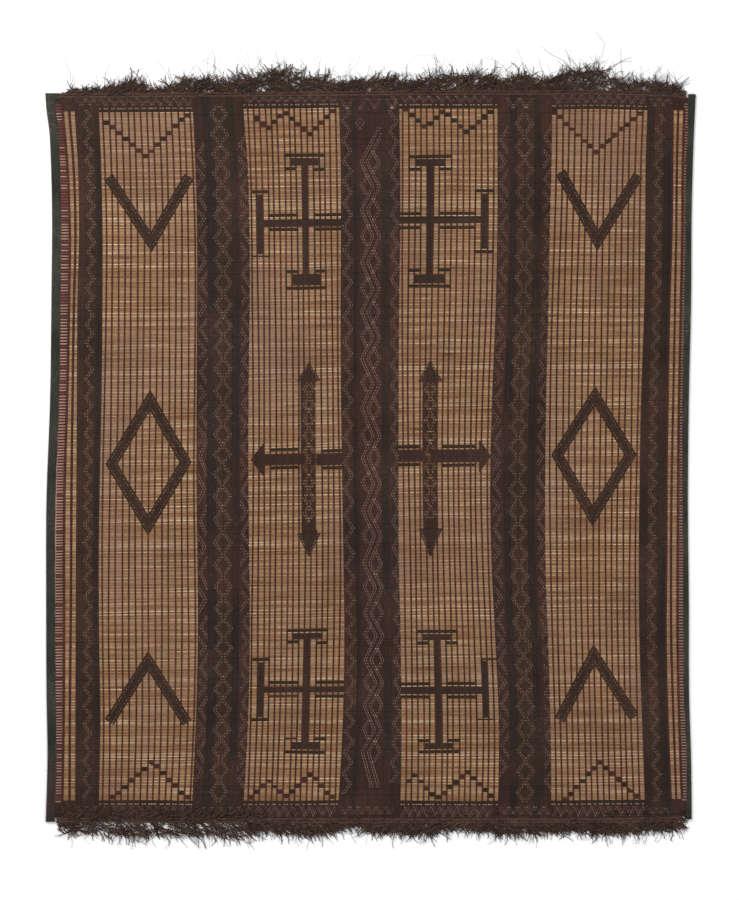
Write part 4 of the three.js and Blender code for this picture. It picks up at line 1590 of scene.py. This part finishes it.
@dataclass
class Binding:
    """A strip of cloth folded over one side of the mat.

    Attributes:
        name: The piece's name.
        post: The post of the side.
        side: 1 on the left side, -1 on the right.
        top: The Y of its upper end.
        bottom: The Y of its lower end.
        flap: How much further the face reaches in at its very top, in millimetres.
        seed: The seed of its creases.
        inner: The post of the face's inner edge, where the face's width varies.
    """

    name: str
    post: str
    side: int
    top: float
    bottom: float
    flap: float
    seed: int
    inner: str = ""
    cloth: float = 0.9
    face_width: float = 21.0
    under_width: float = 17.0
    face_height: float = 5.75
    under_side: float = 0.05

    def section(self) -> Array:
        """The closed section, as inward reach and height in millimetres, round from the underside."""
        outer = [(self.under_width * share, self.under_side) for share in (1.0, 0.5)]
        outer.append((2.6, self.under_side + 0.05))
        middle = (self.face_height + self.under_side) / 2
        radius = (self.face_height - self.under_side) / 2
        for k in range(1, 8):
            angle = math.pi * k / 8
            outer.append((2.4 - 2.3 * math.sin(angle), middle - radius * math.cos(angle)))
        outer.append((3.2, self.face_height))
        for share, drop in ((0.38, 0.05), (0.62, 0.1), (0.83, 0.15), (1.0, 0.3)):
            outer.append((self.face_width * share, self.face_height - drop))
        outer = np.array(outer)
        inward = np.array([0, 0, 0.6] + [0.9] * 7 + [0.4, 0, 0, 0, 0])
        towards = np.sign(middle - outer[:, 1]) * self.cloth
        bend = np.clip(np.abs(middle - outer[:, 1]) / radius, 0.0, 1.0)
        inner = outer + np.stack([inward * (1 - bend * 0.4), towards * np.maximum(bend, 0.15)], axis=1)
        return np.concatenate([outer, inner[::-1]])

    def spare(self, stations: Array) -> Array:
        """How much wider than usual the face is at each Y, in millimetres."""
        if not self.inner:
            return np.zeros(len(stations))
        width = np.abs(flow(POSTS[self.inner], stations) - flow(POSTS[self.post], stations))
        return width * UNIT - self.face_width

    def build(self, chart: Chart, material: Material) -> Object:
        """Makes the piece."""
        section = self.section()
        count = len(section)
        stations = np.linspace(self.top, self.bottom, max(12, int((self.bottom - self.top) / 2.4)))
        random = np.random.default_rng(self.seed)
        lines = len(stations)
        edge = flow(POSTS[self.post], stations)
        knots = np.arange(0, lines + 6, 3)
        waves = np.interp(np.arange(lines), knots, random.normal(0, 0.35, len(knots)))
        pucker = np.interp(np.arange(lines), knots, random.normal(0, 0.16, len(knots)))
        reach = np.tile(section[:, 0], (lines, 1))
        height = np.tile(section[:, 1], (lines, 1))
        on_face = section[:, 0] > 0.57 * self.face_width
        is_face = section[:, 1] > 3.2
        reach = reach + np.where(on_face & is_face, waves[:, None], 0)
        stretch = np.clip((section[:, 0] - 4) / (self.face_width - 4), 0, 1)
        reach = reach + np.where(is_face, stretch * self.spare(stations)[:, None], 0)
        crease = pucker[:, None] * np.where(is_face & (section[:, 0] > 5), 1, 0)
        height = height + np.minimum(crease, 0.12)
        if self.flap:
            share = np.clip((self.top + 6.2 - stations) / 1.2, 0, 1)[:, None]
            stretch = np.clip((section[:, 0] - 14) / 7, 0, 1)[None, :]
            reach = reach + np.where(is_face, share * stretch * self.flap, 0)
        across = edge[:, None] + self.side * reach / UNIT
        down = np.repeat(stations[:, None], count, axis=1)
        points = chart.lay(across, down, height)
        index = np.arange(lines * count).reshape(lines, count)
        following = np.roll(index, -1, axis=1)
        quads = np.stack([index[:-1], following[:-1], following[1:], index[1:]], axis=-1).reshape(-1, 4)
        half = count // 2
        caps = []
        for line, turned in ((index[0], False), (index[-1], True)):
            for k in range(half - 1):
                cap = [line[k], line[count - 1 - k], line[count - 2 - k], line[k + 1]]
                caps.append(cap[::-1] if turned else cap)
        faces = np.concatenate([quads, np.array(caps)])
        if self.side < 0:
            faces = faces[:, ::-1]
        piece = new_piece(self.name, points, faces, material)
        # The fold and the face's inner edge, which get the cloth's painted highlight.
        edge_highlight = (section[:, 0] < 3) | (section[:, 0] > self.face_width - 2)
        edge_highlight_points = np.tile(np.where(edge_highlight, 1.0, 0.0), lines)
        paint_points(piece.data, "edge", edge_highlight_points)
        return piece

    def flat(self, chart: Chart) -> tuple[float, float]:
        """The width and length of the cloth before it was folded, in metres."""
        section = self.section()
        outer = section[: len(section) // 2]
        inner = section[len(section) // 2 :]
        width = sum(np.linalg.norm(np.diff(path, axis=0), axis=1).sum() for path in (outer, inner)) / 2
        return width * 0.001, (self.bottom - self.top) * chart.unit


@dataclass
class Stitches:
    """Running stitches along the face of a binding."""

    name: str
    seed: int = 21
    spacing: float = 3.6

    def build(self, chart: Chart, bindings: list[Binding], material: Material) -> Object:
        """Makes the piece: one thread stitch on each point beside the bindings' inner edges."""
        random = np.random.default_rng(self.seed)
        rows = []
        for binding in bindings:
            down = np.arange(binding.top + 4, binding.bottom - 2, self.spacing)
            inward = binding.face_width + binding.spare(down) - 2.6 + random.normal(0, 0.35, len(down))
            across = flow(POSTS[binding.post], down) + binding.side * inward / UNIT
            down = down + random.normal(0, 0.25, len(down))
            rows.append(chart.lay(across, down, binding.face_height - 0.05))
        points = np.concatenate(rows)
        source = point_cloud(self.name + "_plan", points)
        paint_points(source.data, "turn", random.normal(0, 0.12, len(points)))
        sizes = {"Length": 0.0042, "Thickness": 0.00045}
        model = Modeller("binding stitches", sizes)
        given = model.given
        rod = model.add("GeometryNodeMeshCylinder", {"Vertices": 6, "Side Segments": 4, "Radius": 1.0,
            "Depth": 1.0}).outputs[0]
        parts = model.position()
        away = model.times(parts[2], 2.0)
        round_off = model.minus(1.0, model.math("POWER", model.math("ABSOLUTE", away), 3.0))
        thick = model.times(given["Thickness"], model.plus(model.times(round_off, 0.75), 0.25))
        dip = model.times(model.math("POWER", model.math("ABSOLUTE", away), 2.0), -0.0006)
        shape = model.add("ShaderNodeCombineXYZ", {
            0: model.times(parts[0], thick),
            1: model.times(parts[2], given["Length"]),
            2: model.plus(model.times(parts[1], thick), dip),
        }).outputs[0]
        bent = model.add("GeometryNodeSetPosition", {"Geometry": rod, "Position": shape}).outputs[0]
        turn = model.add("ShaderNodeCombineXYZ", {2: model.read("turn")}).outputs[0]
        placed = model.add(
            "GeometryNodeInstanceOnPoints",
            {"Points": given["Geometry"], "Instance": bent, "Rotation": turn},
        ).outputs[0]
        model.close(placed, material)
        return model.run(source, self.name)


@dataclass
class RolledEdge:
    """The twined edge at one end of the weave: two twisted rolls of leather side by side.

    Attributes:
        name: The piece's name.
        row: The row of the weave that it follows.
        outward: -1 upwards in the chart, 1 downwards.
        span: The X at which it begins and ends.
        seed: The seed of its unevenness.
    """

    name: str
    row: float
    outward: int
    span: tuple[float, float]
    seed: int
    lay_length: float = 11.0

    def path(self, chart: Chart, across: Array) -> Array:
        """The Y of the weave's end below or above each X."""
        _, down = chart.grid(across, np.array([self.row]))
        return down[0]

    def build(self, chart: Chart, material: Material) -> Object:
        """Makes the piece."""
        random = np.random.default_rng(self.seed)
        across = np.arange(self.span[0], self.span[1], 2.1)
        end = self.path(chart, across)
        points, faces, alongs, tints = [], [], [], []
        offset = 0
        lines = len(across)
        swell = 1 + 0.1 * np.interp(across, np.linspace(*self.span, 60), random.normal(0, 1, 60))
        for roll, (middle, high, size) in enumerate(((1.25, 3.1, 1.75), (4.0, 2.9, 1.65))):
            for strand in range(3):
                turn = 2 * math.pi * (strand / 3 + across / self.lay_length * (1 if roll else -1))
                centre_out = middle + 0.62 * np.cos(turn) * swell
                centre_up = high + 1.25 * np.sin(turn) * swell
                angles = np.linspace(0, 2 * math.pi, 9)[:-1]
                ring_out = centre_out[:, None] + size / UNIT * np.cos(angles) * swell[:, None]
                ring_up = centre_up[:, None] + size * np.sin(angles) * swell[:, None]
                x = np.repeat(across[:, None], 8, axis=1)
                down = end[:, None] + self.outward * ring_out
                points.append(chart.lay(x, down, np.clip(ring_up, 0.02, 6.6)))
                index = np.arange(lines * 8).reshape(lines, 8) + offset
                following = np.roll(index, -1, axis=1)
                quads = np.stack([index[:-1], index[1:], following[1:], following[:-1]],
                    axis=-1).reshape(-1, 4)
                caps = np.array([[index[0, k], index[0, k + 1], index[0, 6 - k], index[0,
                    7 - k]] for k in range(3)])
                ends = np.array([[index[-1, 7 - k], index[-1, 6 - k], index[-1, k + 1], index[-1,
                    k]] for k in range(3)])
                quads = np.concatenate([quads, caps, ends])
                faces.append(quads if self.outward < 0 else quads[:, ::-1])
                alongs.append(np.full(lines * 8, 0.1 + 0.1 * roll))
                tints.append(np.full(lines * 8, 0.45 + 0.12 * strand))
                offset += lines * 8
        piece = new_piece(self.name, np.concatenate(points), np.concatenate(faces), material)
        paint_points(piece.data, "along", np.concatenate(alongs))
        paint_points(piece.data, "tint", np.concatenate(tints))
        return piece


@dataclass
class Fringe:
    """The cut ends of the laces beyond a rolled edge: a matted heap of strands with loose wisps.

    Attributes:
        name: The piece's name.
        edge: The rolled edge that it hangs from.
        mass: How far the matted heap reaches beyond the edge, at each X.
        lean: Which way the heap leans at each X, in degrees, rightwards being more.
        count: How many strands the heap has.
        wisps: How many loose strands reach further.
        longest: How far the longest wisp reaches.
        seed: The seed of the strands.
        backward: Stretches from one X to another where a share of the strands lies back over the weave.
    """

    name: str
    edge: RolledEdge
    mass: Table
    lean: Table
    count: int
    wisps: int
    longest: float
    seed: int
    backward: tuple[tuple[float, float, float], ...] = ()

    def roots(self, chart: Chart) -> dict[str, Array]:
        """Draws up the strands: their roots, lengths, leans, bends, curls, thicknesses and tints."""
        random = np.random.default_rng(self.seed)
        low, high = self.edge.span
        total = self.count + self.wisps
        wisp = np.arange(total) >= self.count
        across = random.uniform(low, high, total)
        reach = 1.2 * flow(self.mass, across)
        tilt = flow(self.lean, across)
        side = np.where(random.uniform(-0.5, 0.5, total) < tilt / 110, 1.0, -1.0)
        lean = side * random.uniform(34, 87, total)
        lean = np.where(wisp, np.clip(tilt * 0.5 + random.normal(0, 34, total), -80, 80), lean)
        lean = np.where(across < low + 16, np.abs(lean), lean)
        lean = np.where((across > high - 14) & (self.edge.outward < 0), -np.abs(lean), lean)
        bend = random.normal(0, 1, total) * np.where(wisp, 56, 46)
        out = np.where(wisp, 2.0, random.uniform(1.2, 1.0 + 0.72 * np.maximum(reach, 3), total))
        room = np.maximum(reach * random.uniform(0.75, 1.15, total) - out, 1.5)
        slant = np.radians(np.clip(np.abs(lean), 0, 78))
        length = np.minimum(random.uniform(8, 24, total), room / np.cos(slant))
        far = self.longest * random.beta(1.5, 2.6, total)
        length = np.where(wisp, reach * random.uniform(0.7, 1.1, total) + far, length)
        aside = np.where(lean > 0, high - across, across - low) + 6
        sideways = np.maximum(np.abs(np.sin(np.radians(lean))), 0.1)
        length = np.minimum(length, np.maximum(aside, 4) / sideways)
        thick = np.where(wisp, random.uniform(0.4, 0.85, total), random.uniform(0.9, 1.8, total))
        lift = random.uniform(1.0, 4.8, total)
        rest = np.where(wisp, random.uniform(0.8, 4.0, total), random.uniform(0.6, 4.8, total))
        way = np.full(total, float(self.edge.outward))
        for left, right, share in self.backward:
            back = (across > left) & (across < right) & ~wisp & (random.uniform(0, 1, total) < share)
            way[back] *= -1
            out[back] = random.uniform(-5, 3, back.sum())
            lift[back] = random.uniform(5.6, 6.6, back.sum())
            rest[back] = random.uniform(5.6, 6.8, back.sum())
            length[back] = random.uniform(5, 11, back.sum())
        base = self.edge.path(chart, across) + self.edge.outward * out
        return {
            "root": chart.lay(across, base, lift),
            "length": length * chart.unit,
            "lean": np.radians(lean),
            "bend": np.radians(bend),
            "curl": random.normal(0, 0.05, total) * length * chart.unit,
            "phase": random.uniform(0, 2 * math.pi, total),
            "thick": thick * 0.001,
            "rest": rest * 0.001,
            "arch": random.uniform(0.0, 2.6, total) * 0.001 * (way == self.edge.outward),
            "way": -way,
            "tint": random.uniform(0.0, 1.0, total),
        }

    def build(self, chart: Chart, material: Material) -> Object:
        """Makes the piece with a geometry tree that grows a bent, tapering strand on each root."""
        rows = self.roots(chart)
        source = point_cloud(self.name + "_roots", rows["root"])
        for key, values in rows.items():
            paint_points(source.data, key, values)
        model = Modeller(self.name + " strands", {"Tip Share": 0.5, "Flatness": 0.5, "Waves": 6.0})
        given = model.given
        sizes = {"Vertices": 3, "Side Segments": 5, "Radius": 1.0, "Depth": 1.0}
        rod = model.add("GeometryNodeMeshCylinder", sizes).outputs[0]
        own = model.position()
        for key, value in (("along", model.plus(own[2], 0.5)), ("aside", own[0]), ("upward", own[1])):
            keys = {"Name": key, "Geometry": rod, "Value": value}
            rod = model.add("GeometryNodeStoreNamedAttribute", keys, data_type="FLOAT").outputs[0]
        keys = {"Points": given["Geometry"], "Instance": rod}
        grown = model.add("GeometryNodeInstanceOnPoints", keys).outputs[0]
        grown = model.add("GeometryNodeRealizeInstances", {"Geometry": grown}).outputs[0]
        share, lean, way = model.read("along"), model.read("lean"), model.read("way")
        root = model.split(model.read("root", "FLOAT_VECTOR"))
        run = model.times(model.read("length"), share)
        turned = model.times(model.read("bend"), share)
        angle = model.plus(lean, model.times(turned, 0.5))
        heading = model.plus(lean, turned)
        thick = model.times(model.read("thick"), model.choose(share, given["Tip Share"], 1.0))
        phase = model.read("phase")
        wave = model.math("SINE", model.plus(model.times(share, given["Waves"]), phase))
        wave = model.times(model.minus(wave, model.math("SINE", phase)), model.read("curl"))
        aside = model.times(model.times(model.read("aside"), thick), way)
        aside = model.plus(aside, wave)
        upward = model.times(model.times(model.read("upward"), thick), given["Flatness"])
        x = model.plus(root[0], model.times(model.math("SINE", angle), run))
        x = model.plus(x, model.times(model.math("COSINE", heading), aside))
        y = model.times(model.math("COSINE", angle), run)
        y = model.minus(y, model.times(model.math("SINE", heading), aside))
        y = model.plus(root[1], model.times(y, way))
        arc = model.times(model.times(share, model.minus(1.0, share)), 4.0)
        z = model.choose(share, model.read("rest"), root[2])
        z = model.plus(z, model.times(arc, model.read("arch")))
        z = model.math("MAXIMUM", model.plus(z, upward), 0.00002)
        model.close(model.move(grown, model.vector(x, y, z)), material)
        return model.run(source, self.name)


@dataclass
class Studio:
    """The pale floor, the soft lights and the camera straight above.

    Attributes:
        frame_height: What the image shows from top to bottom, in metres.
        lens: The camera's focal length in millimetres.
    """

    frame_height: float = 900 * 0.0023
    lens: float = 110.0

    def build(self, chart: Chart) -> None:
        """Sets up everything that isn't part of the mat."""
        self.floor()
        self.lights()
        self.camera(chart)
        scene = bpy.context.scene
        scene.view_settings.view_transform = "Standard"
        scene.view_settings.look = "None"

    def floor(self) -> None:
        """Makes the plain pale floor."""
        material = bpy.data.materials.new("floor")
        material.use_nodes = True
        shader = material.node_tree.nodes["Principled BSDF"]
        shader.inputs["Base Color"].default_value = (0.9, 0.9, 0.9, 1)
        shader.inputs["Roughness"].default_value = 0.9
        points = np.array([[-6, -6, 0], [6, -6, 0], [6, 6, 0], [-6, 6, 0]], float)
        floor = new_piece("floor", points, np.array([[0, 1, 2, 3]]), material)

    def lights(self) -> None:
        """Makes a broad soft light from the upper left, a weaker one opposite and an even sky."""
        for name, place, size, power in (
            ("key_light", (-2.2, 2.4, 3.2), 2.4, 150.0),
            ("fill_light", (2.6, -2.2, 3.4), 3.0, 55.0),
        ):
            data = bpy.data.lights.new(name, "AREA")
            data.size = size
            data.energy = power
            light = put_in_scene(name, data)
            light.location = place
            light.rotation_mode = "QUATERNION"
            light.rotation_quaternion = (-light.location).to_track_quat("-Z", "Y")
        world = bpy.data.worlds.new("sky")
        world.use_nodes = True
        world.node_tree.nodes["Background"].inputs[0].default_value = (1, 1, 1, 1)
        world.node_tree.nodes["Background"].inputs[1].default_value = 0.62
        bpy.context.scene.world = world

    def camera(self, chart: Chart) -> None:
        """Sets the camera straight above the middle of the chart."""
        data = bpy.data.cameras.new("camera")
        data.lens = self.lens
        data.sensor_width = 36.0
        data.clip_end = 50.0
        camera = put_in_scene("camera", data)
        middle = chart.lay(np.array([369.5]), np.array([450.0]), np.array([4.0]))[0]
        away = self.frame_height / 2 / (18.0 / self.lens)
        camera.location = (middle[0], middle[1], middle[2] + away)
        bpy.context.scene.camera = camera


def make_bands(chart: Chart) -> list[Band]:
    """Lays the five bands and draws their patterns."""
    edge = ((0.0, Dye.BROWN), (0.30, Dye.UMBER), (0.72, Dye.SLATE))
    wide = ((0.0, Dye.PLUM), (0.21, Dye.SLATE), (0.36, Dye.UMBER), (0.68, Dye.SLATE), (0.82, Dye.PLUM))
    middle = ((0.0, Dye.BROWN), (0.20, Dye.SLATE), (0.31, Dye.PLUM), (0.70, Dye.SLATE), (0.82, Dye.BROWN))
    bands = [
        Band("leather_band_1", "band_1", "panel_1", 10, edge, 101),
        Band("leather_band_2", "band_2", "panel_2", 21, wide, 202),
        Band("leather_band_3", "band_3", "panel_3", 24, middle, 303),
        Band("leather_band_4", "band_4", "panel_4", 22, wide, 404),
        Band("leather_band_5", "band_5", "right_margin", 10, edge, 505),
    ]
    for band in bands:
        band.start(chart)
    first, second, third, fourth, fifth = bands
    first.zigzag(7.2, 16.6, steady(124, 18.2))
    second.chevrons(0.0, (155, 198, 240, 284, 329, 372, 415, 457, 521, 573, 627, 667, 709, 751))
    second.diamonds(25.8, 9.2, (
        104, 124, 144.5, 163, 184, 204, 227, 249, 271.5, 294, 315.5, 336.5, 357.7, 380, 402, 424, 445,
        464, 485,
        508, 531, 554, 576, 597.5, 619, 638, 657.5, 679, 699, 720, 739, 760, 780, 803,
    ))
    second.chevrons(42.2, (145, 188, 231, 274, 317.5, 360.7, 404, 447, 490, 533, 577, 622, 660, 702,
        743, 779))
    third.zigzag(1.4, 11.8, (
        120, 140.5, 160.5, 181.5, 203, 226.5, 250, 272, 293, 316.5, 342, 365, 388, 413, 437.5, 462.5,
        489, 515, 541,
        566, 589.5, 610, 630, 651, 672, 692, 711.5, 731.5, 752, 773.5, 795,
    ))
    third.zigzag(49.2, 58.4, (
        111, 131.5, 152, 173.5, 194, 214, 234.5, 256, 279, 302.5, 322.5, 343, 364.5, 385.5, 407, 428,
        448, 469, 494,
        522, 548, 573, 596, 619, 641, 661, 682, 703, 723.5, 743.5, 763, 783,
    ))
    draw_snake(third)
    draw_peaks(third, ((19, 109.5), (27, 98), (34.5, 108), (40.5, 98)))
    draw_peaks(third, ((1, 98.5), (7, 109), (13, 98)))
    draw_peaks(third, ((46, 98.5), (52, 109), (58, 98.5)))
    fourth.chevrons(0.0, (140, 183, 226.5, 270.5, 312, 356, 399, 442.5, 484, 528, 574, 620.7, 660.7,
        704, 745.7))
    fourth.diamonds(27.2, 9.2, (
        112, 135, 159, 181, 202, 224, 246, 266.5, 289, 310, 329, 351, 372, 394, 416, 436, 458, 478,
        500, 522, 543.5,
        565, 588, 610, 635, 655.7, 675.7, 695.7, 717, 740, 760.7, 782, 803,
    ))
    fourth.chevrons(44.4, (137, 179, 221, 264, 306, 349, 392, 435, 478, 521, 565, 608, 652, 693, 735.7,
        780.7))
    draw_peaks(fourth, ((9, 98), (15, 107.5), (21.5, 98), (28, 108), (34.5, 98)))
    fifth.zigzag(8.0, 17.4, steady(128, 18.2))
    for band in (first, fifth):
        band.hem(98, 106)
    for band in bands:
        band.hem(806.5, 814.5)
    return bands


def make_panels(chart: Chart) -> list[Panel]:
    """Lays the four panels and weaves their motifs."""
    panels = [
        Panel("panel_lacing_1", "panel_1", "band_2", 15, 10, 11),
        Panel("panel_lacing_2", "panel_2", "band_3", 16, 8, 22),
        Panel("panel_lacing_3", "panel_3", "band_4", 16, 9, 33),
        Panel("panel_lacing_4", "panel_4", "band_5", 15, 10, 44),
    ]
    for panel in panels:
        panel.start(chart)
    weave_motifs(panels)
    return panels


def hand_over(piece: Object, slot: str, *nodes: str) -> Object:
    """Lets a piece ride on the mat, hides the imported nodes that it stands for and logs its count of faces.
    """
    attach(piece, "root")
    if nodes:
        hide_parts(*nodes)
    LOG.info("%s: %d faces", piece.name, len(piece.data.polygons))
    return piece


def main() -> None:
    """Builds the mat piece by piece and sets up the studio."""
    logging.basicConfig(level=logging.INFO, format="%(message)s")
    chart = Chart.on_frame()
    weathering_group()
    straw = ReedFinish("straw_reeds", roughness=0.6, fading=0.5, dust=0.1).build()
    leather = LeatherFinish("dyed_leather", roughness=0.62, fading=0.6, dust=0.05).build()
    strands = StrandFinish("leather_strands", roughness=0.6, fading=0.4, dust=0.1).build()
    green = ClothFinish("green_binding", roughness=0.8, fading=0.6, dust=0.14).build()
    plum = ClothFinish(
        "plum_binding", roughness=0.8, dust=0.1, body=(52, 41, 38), pale=(84, 70, 65), dark=(36, 28, 26)
    ).build()
    thread = StrandFinish("binding_thread", roughness=0.7, root=(44, 46, 42), tip=(44, 46, 42)).build()

    bed = hand_over(StrawBed().build(chart, straw), "straw", "woven_mat")
    bands = make_bands(chart)
    panels = make_panels(chart)
    for band in bands:
        hand_over(band.build(leather), "leather", "woven_mat")
    for panel in panels:
        hand_over(panel.build(chart, leather), "leather", "woven_mat")
    for border in (Border("border_top", True), Border("border_bottom", False, 8.6)):
        hand_over(border.build(chart, panels, leather), "leather", "woven_mat")
    margins = (
        Margin("left_margin", ("left_ladder", "left_margin"), ("left_margin", "band_1"), (0.07, 0.6), 3, 61),
        Margin(
            "right_margin", ("right_ladder", "right_binding"), ("right_margin", "right_ladder"),
            (0.03, 0.5, 1.02), 2, 62, (0.1, 0.08, 0.02),
        ),
    )
    for margin in margins:
        hand_over(margin.build(chart, leather), "red_leather", "woven_mat")

    left = Binding("left_side_cloth", "left_edge", 1, 93.2, 762.9, 14.0, 71)
    lower = Binding("left_lower_cloth", "left_edge", 1, 763.0, 821.8, 0.0, 72)
    right = Binding("right_side_cloth", "right_edge", -1, 94.2, 819.2, 0.0, 73, "right_binding",
        face_width=15.2)
    for binding, node, slot, finish in (
        (left, "left_binding", "binding_cloth", green),
        (lower, "left_binding_end", "patch_cloth", plum),
        (right, "right_binding", "binding_cloth", green),
    ):
        piece = hand_over(binding.build(chart, finish), slot, node)
        binding.flat(chart)
    hand_over(Stitches("binding_stitches").build(chart, [left, lower, right], thread), "binding_cloth")

    top_edge = RolledEdge("top_rolled_edge", 0.0, -1, (60.5, 687.0), 81)
    bottom_edge = RolledEdge("bottom_rolled_edge", float(PAIRS), 1, (56.5, 682.5), 82)
    top_mass = (
        (60, 4), (80, 9), (96, 9), (112, 12), (128, 17), (138, 15), (150, 8), (162, 9), (176, 16), (192, 20),
        (208, 18), (222, 14), (238, 17), (252, 22), (270, 25), (285, 28), (300, 19), (316, 21), (332, 13),
        (348, 15), (364, 16), (386, 18), (404, 12), (424, 18), (438, 20), (450, 22), (470, 20), (485, 21),
        (496, 11), (508, 17), (521, 20), (534, 14), (548, 17), (566, 23), (586, 26), (604, 22), (622, 15),
        (646, 14), (668, 12), (690, 6),
    )
    top_lean = (
        (60, 20), (120, 55), (150, 10), (200, 30), (260, 0), (330, 45), (380, 55), (440, 20),
        (520, 40), (600, 10),
        (690, 50),
    )
    top = Fringe("top_fringe_strands", top_edge, top_mass, top_lean, 2300, 380, 32.0, 91)
    bottom_mass = (
        (56, 12), (90, 17), (120, 19), (160, 18), (200, 19), (240, 20), (262, 12), (280, 15),
        (310, 17), (340, 10),
        (352, 6), (372, 13), (400, 13), (430, 17), (455, 9), (470, 10), (500, 16), (530, 15), (560, 12),
        (600, 15), (640, 14), (682, 12),
    )
    bottom_lean = ((56, -10), (150, 40), (260, 50), (340, 20), (420, -30), (520, 40), (600, 20), (684, -10))
    back = ((60, 215, 0.5), (215, 262, 0.3), (262, 690, 0.04))
    bottom = Fringe("bottom_fringe_strands", bottom_edge, bottom_mass, bottom_lean, 3000, 150, 17.0, 92, back)
    for edge, fringe, node in ((top_edge, top, "top_fringe"), (bottom_edge, bottom, "bottom_fringe")):
        hand_over(edge.build(chart, strands), "leather", node)
        hand_over(fringe.build(chart, strands), "leather", node)
    Studio().build(chart)


if __name__ == "__main__":
    main()
